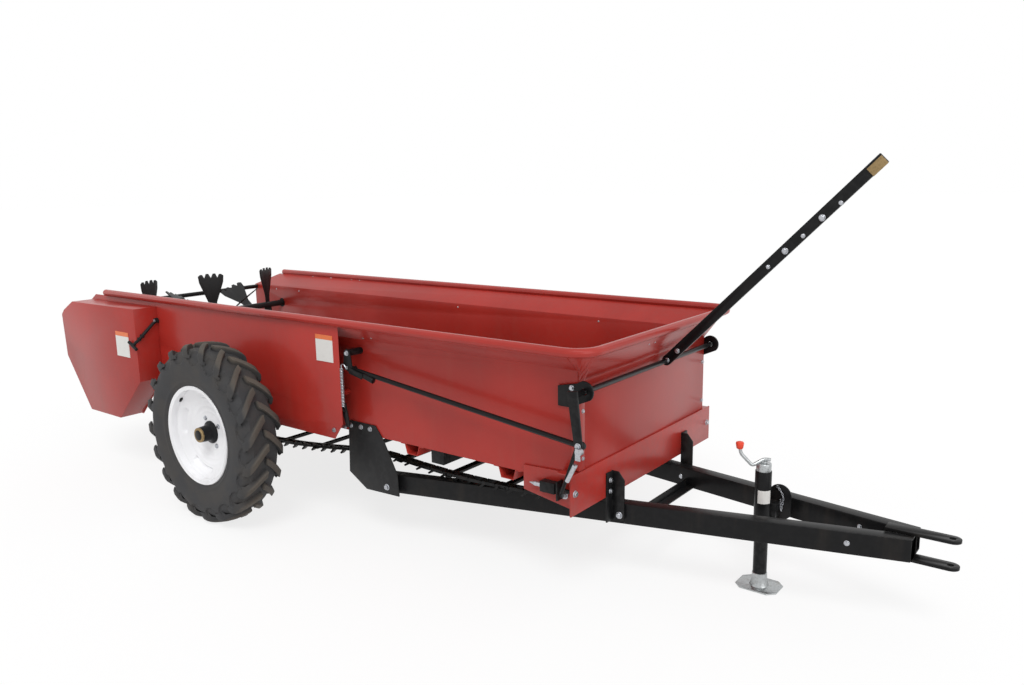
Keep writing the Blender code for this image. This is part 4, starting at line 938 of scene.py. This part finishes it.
    def wheel(self, side, place):
        """Rolled rim with a dished disc, pressed ridges and oval dents."""
        rim_out = [(0.2165, 0.0790), (0.2185, 0.0755), (0.2170, 0.0725), (0.2045, 0.0705), (0.2035, 0.0660),
                   (0.2035, 0.0400), (0.1900, 0.0280), (0.1900, -0.0280), (0.2035, -0.0400), (0.2035, -0.0660),
                   (0.2045, -0.0705), (0.2170, -0.0725), (0.2185, -0.0755), (0.2165, -0.0790)]
        rim_in = [(0.2120, -0.0780), (0.2010, -0.0750), (0.1990, -0.0700), (0.1990, -0.0420), (0.1855, -0.0300),
                  (0.1855, 0.0300), (0.1990, 0.0420), (0.1990, 0.0700), (0.2010, 0.0750), (0.2120, 0.0780)]
        rim = turned([*rim_out, *rim_in], 120, side)
        disc = self.disc(side)
        whole = joined([rim, disc])
        whole.transform(Matrix.Translation(place))
        return whole

    def disc_offset(self, radius, angle):
        """Outward offset of the disc's face: dish, two pressed rings and the dents."""
        dish = 0.0070 + 0.040 * max(0.0, (radius - 0.088) / 0.112) ** 1.55
        ridge = sum(height * math.exp(-((radius - centre) / width) ** 2) for centre, height, width in PRESSED_RINGS)
        dent = 0.0
        for centre, reach in DENTS:
            turn = math.radians((math.degrees(angle) - centre + 180) % 360 - 180)
            beyond = max(0.0, abs(turn) - math.radians(reach)) * 0.172
            away = math.hypot(beyond, radius - 0.168)
            dent = max(dent, 1.0 - min(1.0, away / 0.0130))
        return dish + ridge - 0.0160 * dent ** 0.8

    def disc(self, side):
        steps, thick = 180, 0.0045
        radii = [0.030, 0.045, 0.060, 0.078, 0.086, 0.090, 0.094, 0.098, 0.104, 0.110, 0.114, 0.118, 0.122, 0.128,
                 0.135, 0.139, 0.143, 0.147, 0.152, 0.155, 0.158, 0.161, 0.164, 0.167, 0.170, 0.173, 0.176, 0.179,
                 0.183, 0.187, 0.191, 0.195, 0.1995]
        work = bmesh.new()
        rings = []
        for n in range(steps):
            angle = 2 * math.pi * n / steps
            outer = [(r, self.disc_offset(r, angle)) for r in radii]
            inner = [(r, o - thick) for r, o in reversed(outer)]
            rings.append([work.verts.new((r * math.cos(angle), side * o, r * math.sin(angle)))
                          for r, o in (*outer, *inner)])
        banded(work, rings)
        bmesh.ops.recalc_face_normals(work, faces=work.faces)
        return mesh_of(work)

    def hub(self, side, place):
        """Flanged hub with a long sleeve, and a short one towards the box."""
        outer = [(0.0232, 0.0600), (0.0310, 0.0600), (0.0330, 0.0580), (0.0355, 0.0210), (0.0440, 0.0150),
                 (0.0490, 0.0125), (0.0500, 0.0105), (0.0500, 0.0063), (0.0290, 0.0063), (0.0290, 0.0010),
                 (0.0830, 0.0010), (0.0830, -0.0060), (0.0380, -0.0070), (0.0360, -0.0440), (0.0232, -0.0450)]
        return softened(turned(outer, 64, side, place), 0.0008)

    def lug_bolts(self, side, place):
        stud = hex_bolt()
        stud.transform(Matrix.Rotation(math.radians(-90 * side), 4, "X") @ Matrix.Scale(0.0085, 4))
        turn = math.radians(30.7)
        stud.transform(shift(LUG_BOLT_CIRCLE * math.cos(turn), side * 0.0062, LUG_BOLT_CIRCLE * math.sin(turn)))
        made = grown("ring", points_mesh([]), stud, "bright", Count=4, Start=0.0)
        made.transform(Matrix.Translation(place))
        return made


# ---------------------------------------------------------------- apron and drive
APRON = dict(front=1.590, rear=-1.160, height=0.400, radius=0.0655)
SAG = ((0.04, 0.0145), (0.0909, 0.0225), (0.1455, 0.0275), (0.20, 0.0295), (0.2618, 0.0245), (0.3236, 0.0135),
       (0.3964, 0.0275), (0.4691, 0.0535), (0.5418, 0.0745), (0.6145, 0.0865), (0.6873, 0.0885), (0.76, 0.0815),
       (0.8327, 0.0645), (0.9055, 0.0385), (0.9636, 0.0105))


def apron_line():
    """The chain's middle line: forward along the floor, round the front and back under the box."""
    front, rear, height, radius = (APRON[k] for k in ("front", "rear", "height", "radius"))
    path = [at(rear + (front - rear) * n / 60, 0, height + radius) for n in range(61)]
    path += [at(front + radius * math.sin(math.radians(a)), 0, height + radius * math.cos(math.radians(a)))
             for a in range(12, 180, 12)]
    marks = [(0.0, 0.0), *SAG, (1.0, 0.0)]
    low = height - radius
    for n in range(61):
        share = n / 60
        for (s0, d0), (s1, d1) in zip(marks, marks[1:]):
            if s0 <= share <= s1:
                drop = d0 + (d1 - d0) * (share - s0) / (s1 - s0)
        path.append(at(front + (rear - front) * share, 0, low - drop))
    path += [at(rear - radius * math.sin(math.radians(a)), 0, height - radius * math.cos(math.radians(a)))
             for a in range(12, 180, 12)]
    return path


def loop_length(path):
    return sum((b - a).length for a, b in zip(path, path[1:] + path[:1]))


def belt_line(first, first_radius, second, second_radius):
    """A chain's line round two sprockets, given as (x, z) places; forward along the top."""
    (x1, z1), (x2, z2) = first, second
    heading = math.atan2(z2 - z1, x2 - x1)
    reach = math.acos((first_radius - second_radius) / math.hypot(x2 - x1, z2 - z1))
    wraps = ((first, first_radius, heading + 2 * math.pi - reach, heading + reach),
             (second, second_radius, heading + reach, heading - reach))
    path = []
    for (x, z), radius, start, end in wraps:
        for n in range(17):
            angle = start + (end - start) * n / 16
            path.append(at(x + radius * math.cos(angle), 0, z + radius * math.sin(angle)))
    return path


class SPREADER_OT_apron(bpy.types.Operator):
    """Hooked-link chains and slats that drag the load back, and their shafts"""
    bl_idname = "spreader.apron"
    bl_label = "Apron"

    def execute(self, context):
        line = apron_line()
        full = loop_length(line)
        parts = []
        for side in (RIGHT, LEFT):
            links = round(full / sizes().link_pitch)
            track = [p + Vector((0, side * 0.380, 0)) for p in line]
            parts.append(grown("follow", loop_mesh(track), self.link(full / links), "black", Count=links))
        slats = round(full / 0.27)
        parts.append(grown("follow", loop_mesh(line), self.slat(), "black", Count=slats))
        keep("apron_chains_and_slats", joined(parts), "chassis", "black", ("apron",), 30)
        for node in ("apron_idler_shaft", "apron_drive_shaft"):
            dress(node, "chassis", "black", 0.0012)
        return {"FINISHED"}

    def link(self, pitch):
        """An open link with a hook that wraps the next link's end bar."""
        half, bar = pitch / 2, 0.0062
        parts = []
        for side in (RIGHT, LEFT):
            low, high = sorted((side * 0.0190, side * 0.0112))
            parts.append(block((-half + 0.002, low, -0.0060), (half - 0.004, high, 0.0060)))
        parts.append(rod((half - 0.006, -0.0185, 0.0), (half - 0.006, 0.0185, 0.0), bar, 8))
        parts.append(rod((-half + 0.006, -0.0185, 0.0), (-half + 0.006, 0.0185, 0.0), bar, 8))
        hook = [(-half + 0.012, -0.0075), (-half - 0.006, -0.0070), (-half - 0.013, 0.005), (-half - 0.004, 0.0150),
                (-half + 0.015, 0.0270), (-half + 0.021, 0.0225), (-half + 0.006, 0.0100), (-half - 0.003, 0.003),
                (-half + 0.012, -0.001)]
        parts.append(prism(hook, "Y", -0.0095, 0.0095))
        return smooth(joined(parts), 35)

    def slat(self):
        """A pressed channel that crosses the floor."""
        outline = [(-0.016, -0.002), (-0.016, 0.0065), (-0.0125, 0.0100), (0.0125, 0.0100), (0.016, 0.0065),
                   (0.016, -0.002), (0.013, -0.002), (0.013, 0.0052), (0.0112, 0.0070), (-0.0112, 0.0070),
                   (-0.013, 0.0052), (-0.013, -0.002)]
        return prism(outline, "Y", -0.404, 0.404)


class SPREADER_OT_drive(bpy.types.Operator):
    """Roller chains behind the shield and guard"""
    bl_idname = "spreader.drive"
    bl_label = "Drive chains"

    def execute(self, context):
        beater, apron_shaft, axle = (-1.100, 0.728), (-1.160, 0.400), (0.0, 0.395)
        for node, line, y in (("drive_chain", belt_line(beater, 0.0600, axle, 0.1035), -0.532),
                              ("apron_drive_chain", belt_line(apron_shaft, 0.0780, beater, 0.0530), -0.635)):
            full = loop_length(line)
            count = round(full / sizes().roller_pitch / 2) * 2
            track = [p + Vector((0, y, 0)) for p in line]
            chain = grown("follow", loop_mesh(track), self.link(full / count), "steel", Count=count)
            keep(node + "_links", chain, "chassis", "steel", (node,), 30)
        return {"FINISHED"}

    def link(self, pitch):
        """Two side plates on a roller."""
        half = pitch / 2
        parts = []
        for low, high in ((-0.0058, -0.0040), (0.0040, 0.0058)):
            plate = [(-half - 0.003, 0.0035), (-half - 0.0045, 0.0), (-half - 0.003, -0.0035), (0, -0.0028),
                     (half + 0.003, -0.0035), (half + 0.0045, 0.0), (half + 0.003, 0.0035), (0, 0.0028)]
            parts.append(prism(plate, "Y", low, high))
        parts.append(rod((-half, -0.0040, 0), (-half, 0.0040, 0), 0.0050, 8))
        return joined(parts)


class SPREADER_OT_beater(bpy.types.Operator):
    """Rear beater with its toothed paddles, and the bar behind it"""
    bl_idname = "spreader.beater"
    bl_label = "Beater"

    def execute(self, context):
        dress("beater", "beater", "black_satin", 0.0008)
        dress("rear_bar", "chassis", "black", 0.0006)
        return {"FINISHED"}


# ---------------------------------------------------------------- lever, linkage and jack
class SPREADER_OT_lever(bpy.types.Operator):
    """Hand lever with its cross shaft and the tab at its end"""
    bl_idname = "spreader.lever"
    bl_label = "Hand lever"

    def execute(self, context):
        dress("hand_lever", "lever", "black", 0.0010)
        dress("cross_shaft", "lever", "black", 0.0010)
        along = (at(2.482, 0, 1.500) - at(1.7438, 0, 0.761)).normalized()
        across = Vector((-along.z, 0, along.x))
        end = at(2.490, 0, 1.496)
        grip = [(-0.060, -0.0165), (0.0, -0.0165), (0.0, 0.0165), (-0.060, 0.0165)]
        work = [end + along * a + across * b for a, b in grip]
        tab = prism([(p.x, p.z) for p in work], "Y", 0.0862, 0.0895)
        keep("lever_end_tab", softened(tab, 0.0012), "lever", "brass")
        return {"FINISHED"}


class SPREADER_OT_linkage(bpy.types.Operator):
    """Push rod, bell crank, short link and the tension spring"""
    bl_idname = "spreader.linkage"
    bl_label = "Linkage"

    def execute(self, context):
        dress("push_rod", "push_rod", "black", 0.0010)
        dress("bell_crank", "bell_crank", "black", 0.0010)
        dress("short_link", "short_link", "black", 0.0008)
        boss = rod(at(0.668, -0.4846, 0.783), at(0.668, -0.5545, 0.783), 0.0140, 24)
        keep("bell_crank_sleeve", boss, "chassis", "black")
        self.clevis()
        self.sleeve()
        self.bracket()
        self.spring()
        return {"FINISHED"}

    def clevis(self):
        place = at(1.779, -0.570, 0.583)
        pin = rod(place + Vector((0, -0.014, 0)), place + Vector((0, 0.004, 0)), 0.0125, 20)
        jaw = block(place + Vector((-0.014, -0.0095, -0.030)), place + Vector((0.006, -0.0045, 0.012)))
        keep("link_clevis", softened(joined([pin, jaw]), 0.0015), "short_link", "bright")

    def sleeve(self):
        top, foot = at(1.757, -0.5703, 0.528), at(1.728, -0.5703, 0.472)
        sleeve = rod(top, foot, 0.0082, 20)
        nut = rod(top + (top - foot).normalized() * 0.008, top, 0.0096, 6)
        keep("link_sleeve", softened(joined([sleeve, nut]), 0.0012), "short_link", "bright")

    def bracket(self):
        """The forked end of the push rod and the pivot it pulls."""
        eye = at(0.697, -0.5660, 0.714)
        fork = [rod(eye + Vector((0.060, 0.010, -0.012)), eye + Vector((0.110, 0.014, -0.028)), 0.0115, 20)]
        for y in (-0.5675, -0.5515):
            low, high = y - 0.0015, y + 0.0015
            fork.append(prism([(eye.x - 0.012, 0.727), (eye.x + 0.030, 0.718), (eye.x + 0.066, 0.711),
                               (eye.x + 0.062, 0.688), (eye.x + 0.026, 0.696), (eye.x - 0.014, 0.704)],
                              "Y", low, high))
        keep("rod_fork", softened(joined(fork), 0.001), "push_rod", "black")

    def spring(self):
        """Closed-wound spring that draws the bell crank down, with its hook and strap."""
        top, foot = at(0.634, -0.5620, 0.718), at(0.634, -0.5620, 0.556)
        rows = []
        turns, steps, radius = 26, 12, 0.0062
        for n in range(turns * steps + 1):
            angle = 2 * math.pi * n / steps
            height = foot.z + (top.z - foot.z) * n / (turns * steps)
            rows.append((foot.x + radius * math.cos(angle), foot.y + radius * math.sin(angle), height))
        coil = tube(rows, 0.0021, 8)
        hook = tube(rounded_path([at(0.634, -0.562, 0.716), at(0.634, -0.562, 0.734), at(0.655, -0.566, 0.738),
                                  at(0.664, -0.566, 0.726)], 0.008), 0.0024, 8)
        spring = smooth(joined([coil, hook]), 40)
        spring.materials.append(FINISHES["bright"])
        thing = bpy.data.objects.new("tension_spring", spring)
        bpy.context.scene.collection.objects.link(thing)
        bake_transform(thing)
        strap = prism([(at(0.626, 0, 0).x, 0.572), (at(0.642, 0, 0).x, 0.572), (at(0.662, 0, 0).x, 0.478),
                       (at(0.640, 0, 0).x, 0.470), (at(0.622, 0, 0).x, 0.520)], "Y", -0.558, -0.5535)
        turns_of_loop = [t / 8 * math.pi for t in range(16)]
        loop = tube([at(0.634 + 0.009 * math.cos(t), -0.560, 0.551 + 0.011 * math.sin(t)) for t in turns_of_loop],
                    0.0030, 8, cyclic=True)
        keep("spring_strap", softened(joined([strap, loop]), 0.0008), "chassis", "black")


class SPREADER_OT_jack(bpy.types.Operator):
    """Swivel jack with its mount, leg, foot plate, crank and pin chain"""
    bl_idname = "spreader.jack"
    bl_label = "Jack"

    def execute(self, context):
        dress("jack_mount", "chassis", "black", 0.0010)
        x = at(2.176, 0, 0).x
        barrel = self.upright([(0.0, 0.218), (0.0286, 0.218), (0.0286, 0.434), (0.0, 0.434)], x, 48)
        pivot = at(2.196, 0, 0).x
        crown = [(pivot + 0.0215 + 0.041 * math.cos(math.radians(a)), 0.333 + 0.041 * math.sin(math.radians(a)))
                 for a in range(0, 181, 10)]
        plate = prism([*crown, (pivot - 0.030, 0.255), (pivot - 0.012, 0.243), (pivot + 0.040, 0.243),
                       (pivot + 0.0625, 0.262)], "Y", 0.055, 0.061)
        web = block((pivot - 0.030, 0.010, 0.262), (pivot + 0.024, 0.056, 0.314))
        tube_and_plate = softened(joined([barrel, plate, web]), 0.0010)
        keep("jack_tube_and_plate", tube_and_plate, "jack", "black", ("jack_tube",))
        cap = self.upright([(0.0, 0.4325), (0.0255, 0.4325), (0.0262, 0.4335), (0.0262, 0.4600), (0.0250, 0.4622),
                            (0.0, 0.4624)], x, 48)
        nut = self.upright([(0.0, 0.4600), (0.0125, 0.4600), (0.0125, 0.4700), (0.0, 0.4702)], x, 6)
        keep("jack_cap", softened(joined([cap, nut]), 0.0006), "jack", "zinc")
        keep("jack_label", self.sticker(x), "jack", "label")
        self.foot(x)
        self.crank(x)
        self.chain()
        return {"FINISHED"}

    def sticker(self, x):
        """A blank decal bent round the tube."""
        work = bmesh.new()
        corners = []
        for n in range(13):
            angle = math.radians(-105 + n * 8)
            for radius in (0.0284, 0.0291):
                for z in (0.320, 0.368):
                    corners.append(work.verts.new((x + radius * math.cos(angle), radius * math.sin(angle), z)))
        for n in range(12):
            a, b = corners[4 * n:4 * n + 4], corners[4 * n + 4:4 * n + 8]
            for m, k in ((0, 1), (1, 3), (3, 2), (2, 0)):
                work.faces.new((a[m], a[k], b[k], b[m]))
        for n in (0, 48):
            work.faces.new((corners[n], corners[n + 1], corners[n + 3], corners[n + 2]))
        bmesh.ops.recalc_face_normals(work, faces=work.faces)
        return mesh_of(work)

    def foot(self, x):
        """Clipped foot plate with a flared socket, and the painted inner tube."""
        plate = [(x - 0.076, -0.034), (x - 0.050, -0.060), (x + 0.050, -0.060), (x + 0.076, -0.034),
                 (x + 0.076, 0.034), (x + 0.050, 0.060), (x - 0.050, 0.060), (x - 0.076, 0.034)]
        plate = softened(prism(plate, "Z", 0.0, 0.005), 0.0012)
        socket = self.upright([(0.0, 0.004), (0.0345, 0.004), (0.0310, 0.012), (0.0275, 0.028), (0.0262, 0.052),
                               (0.0240, 0.0535), (0.0, 0.0535)], x, 48)
        keep("jack_foot_plate", joined([plate, socket]), "jack_leg", "zinc", ("jack_leg",))
        leg = self.upright([(0.0, 0.0500), (0.0243, 0.0500), (0.0243, 0.2700), (0.0, 0.2700)], x, 40)
        keep("jack_inner_tube", leg, "jack_leg", "black")

    def crank(self, x):
        """Bent crank rod and its moulded knob."""
        top = 0.462
        bends = [(0.022, 0.004, top + 0.0145), (0, 0, top + 0.0145), (-0.0305, -0.030, top - 0.007),
                 (-0.065, -0.050, top + 0.036), (-0.070, -0.050, top + 0.060)]
        path = [Vector((x + a, b, c)) for a, b, c in bends]
        keep("jack_crank_rod", tube(rounded_path(path, 0.010), 0.0062, 16), "jack_crank", "zinc",
             ("jack_crank",))
        grip = self.upright([(0.0, 0.5150), (0.0095, 0.5150), (0.0118, 0.5180), (0.0132, 0.5270), (0.0142, 0.5350),
                             (0.0125, 0.5390), (0.0070, 0.5410), (0.0, 0.5415)], x - 0.070, 32)
        grip.transform(shift(0, -0.050, 0))
        keep("jack_knob", grip, "jack_crank", "knob")

    def upright(self, profile, x, steps):
        """A solid turned about a standing line."""
        shape = disc_turned(profile, steps, LEFT)
        shape.transform(Matrix(((1, 0, 0, x), (0, 0, 1, 0), (0, 1, 0, 0), (0, 0, 0, 1))))
        return closed(shape)

    def chain(self):
        """Light chain that keeps the swivel's pin, hanging from the mount."""
        links = []
        hang = [at(2.2105, 0.0505, 0.3680), at(2.2345, 0.0500, 0.334), at(2.2255, 0.0495, 0.272),
                at(2.2225, 0.0500, 0.322)]
        path = rounded_path(hang, 0.02, 8)
        total = sum((b - a).length for a, b in zip(path, path[1:]))
        count = int(total / 0.0085)
        for n in range(count):
            walked, goal = 0.0, total * (n + 0.5) / count
            for a, b in zip(path, path[1:]):
                if walked + (b - a).length >= goal:
                    place, aim = a + (b - a).normalized() * (goal - walked), (b - a).normalized()
                    break
                walked += (b - a).length
            spin = Matrix.Rotation(math.pi / 2 * (n % 2), 4, "Z")
            turn = aim.to_track_quat("Z", "Y").to_matrix().to_4x4()
            ring = tube([(0.0028 * math.cos(t * math.pi / 5), 0.0, 0.0058 * math.sin(t * math.pi / 5))
                         for t in range(10)], 0.0010, 6, cyclic=True)
            ring.transform(Matrix.Translation(place) @ turn @ spin)
            links.append(ring)
        pin = rod(at(2.2095, 0.0465, 0.3660), at(2.2095, 0.0556, 0.3660), 0.0045)
        keep("jack_pin_chain", joined([*links, pin]), "jack", "bright")


# ---------------------------------------------------------------- fasteners
class SPREADER_OT_fasteners(bpy.types.Operator):
    """Bolts, pins and nuts on the chassis, the lever and the bell crank"""
    bl_idname = "spreader.fasteners"
    bl_label = "Fasteners"

    def execute(self, context):
        self.hexes()
        self.domes()
        return {"FINISHED"}

    def rows(self, table):
        common = sizes().bolt
        return [(at(*place), aim, common * share) for place, aim, share in table]

    def plant(self, name, table, body, shape, finish="bright"):
        smooth(shape, 30)
        made = grown("place", points_mesh(self.rows(table)), shape, finish, Size=1.0)
        keep(name, made, body, finish, (), 30)

    def hexes(self):
        out, front = (0, -1, 0), (1, 0, 0)
        chassis = []
        for side in (RIGHT, LEFT):
            aim = (0, side, 0)
            for x, z, share in ((0.591, 0.456, 1.0), (0.652, 0.458, 1.0), (0.706, 0.458, 1.0), (0.790, 0.226, 1.25)):
                chassis.append(((x, side * PLATE_FACE, z), aim, share))
            chassis.append(((1.696, side * 0.4923, 0.7685), aim, 0.9))
            chassis.append(((1.664, side * 0.4905, 0.386), aim, 1.4))
            for x, z in ((-1.165, 0.690), (-1.035, 0.690), (-1.165, 0.762), (-1.035, 0.762)):
                chassis.append(((x, side * PLATE_FACE, z), aim, 0.9))
            for z in (0.394, 0.353):
                chassis.append(((1.7302, side * 0.295, z), front, 0.9))
            chassis.append(((1.7239, side * 0.516, 0.410), front, 1.15))
            for z in (0.686, 0.520):
                chassis.append(((FRONT_FACE + 0.0032, side * 0.4637, z), front, 0.7))
            chassis.append(((1.757, side * 0.2784, 0.262), aim, 1.2))
            chassis.append(((1.757, side * 0.2205, 0.262), (0, -side, 0), 1.2))
        chassis.append(((0.577, SHIELD_FACE, 0.452), out, 0.9))
        chassis.append(((-0.700, SHIELD_FACE - 0.019, 0.799), out, 0.9))
        chassis.append(((0.553, -PLATE_FACE, 0.441), out, 0.8))
        # square to the drawbar rails, which run in towards the hitch
        chassis.append(((2.4966, -0.1023, 0.2825), (0.215, -0.977, 0), 0.85))
        chassis.append(((2.4937, 0.0509, 0.2852), (-0.215, -0.977, 0), 0.75))
        self.plant("chassis_bolts", chassis, "chassis", hex_bolt())
        lever = []
        for x, z, share in ((2.304, 1.310, 1.05), (2.185, 1.196, 1.05), (2.362, 1.359, 0.7), (2.244, 1.249, 0.7),
                            (2.128, 1.139, 0.7), (1.789, 0.804, 0.9), (1.748, 0.764, 0.9)):
            lever.append(((x, 0.0898, z), out, share))
            lever.append(((x, 0.1022, z), (0, 1, 0), share * 0.9))
        lever.append(((1.7665, -0.5635, 0.596), out, 1.1))
        self.plant("lever_bolts", lever, "lever", hex_bolt())
        bell = [((0.668, -0.5607, 0.783), out, 0.95), ((0.664, -0.5607, 0.723), out, 0.58)]
        self.plant("bell_crank_pins", bell, "bell_crank", hex_bolt())

    def domes(self):
        rows = [((0.695, -0.4935, 0.8365), (0, -0.66, -0.75), 0.6), ((0.750, -0.5015, 0.8435), (0, -0.66, -0.75), 0.6)]
        rows += [((1.768, y, 0.859), (0.81, 0, -0.58), 0.6) for y in (-0.0934, -0.0476)]
        for x in (-1.186, -0.883, -0.719, -0.538, -0.469):
            rows.append(((x, 0.5585, 0.8935), (0, -0.655, 0.755), 0.5))
        for x in (-1.146, -0.928, 0.35, 1.2):
            rows.append(((x, 0.4808, 0.810), (0, -1, 0), 0.5))
            rows.append(((x, -0.4808, 0.810), (0, 1, 0), 0.5))
        self.plant("box_rivets", rows, "chassis", carriage_bolt())


# ---------------------------------------------------------------- stage
class SPREADER_OT_stage(bpy.types.Operator):
    """Plain pale floor, soft studio light and the camera"""
    bl_idname = "spreader.stage"
    bl_label = "Stage"

    def execute(self, context):
        floor = block((-60, -60, -0.02), (60, 60, 0.0))
        floor.name = "Studio_floor"
        floor.materials.append(self.floor_finish())
        thing = bpy.data.objects.new("Studio_floor", floor)
        context.scene.collection.objects.link(thing)
        self.world(context.scene)
        self.lamps(context.scene)
        self.camera(context.scene)
        context.scene.view_settings.view_transform = "Standard"
        return {"FINISHED"}

    def seen_directly(self, recipe):
        rays = recipe.add("ShaderNodeLightPath")
        camera, gloss, through = (Wire(recipe, rays.outputs[name]) for name in
                                  ("Is Camera Ray", "Is Glossy Ray", "Is Transmission Ray"))
        return (camera + gloss + through).clamped()

    def floor_finish(self):
        made = bpy.data.materials.new("Studio_floor")
        made.use_nodes = True
        recipe = Recipe(made.node_tree)
        made.node_tree.nodes.clear()
        shown = self.seen_directly(recipe)
        lit = recipe.out("ShaderNodeBsdfDiffuse", {}, {"Color": (0.80, 0.80, 0.80, 1.0)})
        glow = recipe.out("ShaderNodeEmission", {}, {"Color": (1.0, 1.0, 1.0, 1.0), "Strength": 1.09})
        both = recipe.out("ShaderNodeMixShader", {}, {0: shown * 0.72, 1: lit, 2: glow})
        recipe.add("ShaderNodeOutputMaterial", {}, {"Surface": both})
        return made

    def world(self, scene):
        world = bpy.data.worlds.new("Studio")
        world.use_nodes = True
        recipe = Recipe(world.node_tree)
        world.node_tree.nodes.clear()
        shown = self.seen_directly(recipe)
        lit = recipe.out("ShaderNodeBackground", {},
                         {"Color": (1.0, 1.0, 1.0, 1.0), "Strength": 0.62 + shown * 0.38})
        recipe.add("ShaderNodeOutputWorld", {}, {"Surface": lit})
        scene.world = world

    def lamps(self, scene):
        for name, aim, strength, spread in (("Key", (-0.35, 0.55, -0.85), 1.25, 25),
                                            ("Front", (-0.9, 0.25, -0.35), 0.55, 40)):
            lamp = bpy.data.lights.new(name, "SUN")
            lamp.energy = strength
            lamp.angle = math.radians(spread)
            thing = bpy.data.objects.new(name, lamp)
            thing.rotation_euler = Vector(aim).to_track_quat("-Z", "Y").to_euler()
            scene.collection.objects.link(thing)

    def camera(self, scene):
        yaw, pitch, roll = 0.6566, -0.1904, -0.0173
        forward = Vector((-math.sin(yaw) * math.cos(pitch), math.cos(yaw) * math.cos(pitch), math.sin(pitch)))
        across = forward.cross(Vector((0, 0, 1))).normalized()
        above = across.cross(forward)
        right = math.cos(roll) * across + math.sin(roll) * above
        up = -math.sin(roll) * across + math.cos(roll) * above
        lens = bpy.data.cameras.new("Camera")
        lens.lens, lens.sensor_width, lens.sensor_fit = 29.65, 36.0, "HORIZONTAL"
        thing = bpy.data.objects.new("Camera", lens)
        turn = Matrix((right, up, -forward)).transposed().to_4x4()
        thing.matrix_world = Matrix.Translation((2.5286, -2.7684, 1.4507)) @ turn
        scene.collection.objects.link(thing)
        scene.camera = thing


BUILD_ORDER = (SPREADER_OT_box, SPREADER_OT_floor, SPREADER_OT_running_frame, SPREADER_OT_guards,
               SPREADER_OT_wheels, SPREADER_OT_apron, SPREADER_OT_drive, SPREADER_OT_beater, SPREADER_OT_lever,
               SPREADER_OT_linkage, SPREADER_OT_jack, SPREADER_OT_fasteners, SPREADER_OT_stage)


class SPREADER_PT_panel(bpy.types.Panel):
    """Lists the sizes, the colours and the build steps"""
    bl_idname = "SPREADER_PT_panel"
    bl_label = "Manure spreader"
    bl_space_type = "VIEW_3D"
    bl_region_type = "UI"
    bl_category = "Spreader"

    def draw(self, context):
        for group in (context.scene.spreader_sizes, context.scene.spreader_colours):
            column = self.layout.column()
            for key in group.__annotations__:
                column.prop(group, key)
        for operator in BUILD_ORDER:
            self.layout.operator(operator.bl_idname)


CLASSES = (SpreaderSizes, SpreaderColours, *BUILD_ORDER, SPREADER_PT_panel)


def register():
    for made in CLASSES:
        bpy.utils.register_class(made)
    bpy.types.Scene.spreader_sizes = bpy.props.PointerProperty(type=SpreaderSizes)
    bpy.types.Scene.spreader_colours = bpy.props.PointerProperty(type=SpreaderColours)


def unregister():
    del bpy.types.Scene.spreader_colours
    del bpy.types.Scene.spreader_sizes
    for made in reversed(CLASSES):
        bpy.utils.unregister_class(made)


def main():
    register()
    make_finishes()
    make_trees()
    for operator in BUILD_ORDER:
        group, step = operator.bl_idname.split(".")
        getattr(getattr(bpy.ops, group), step)()


if __name__ == "__main__":
    main()
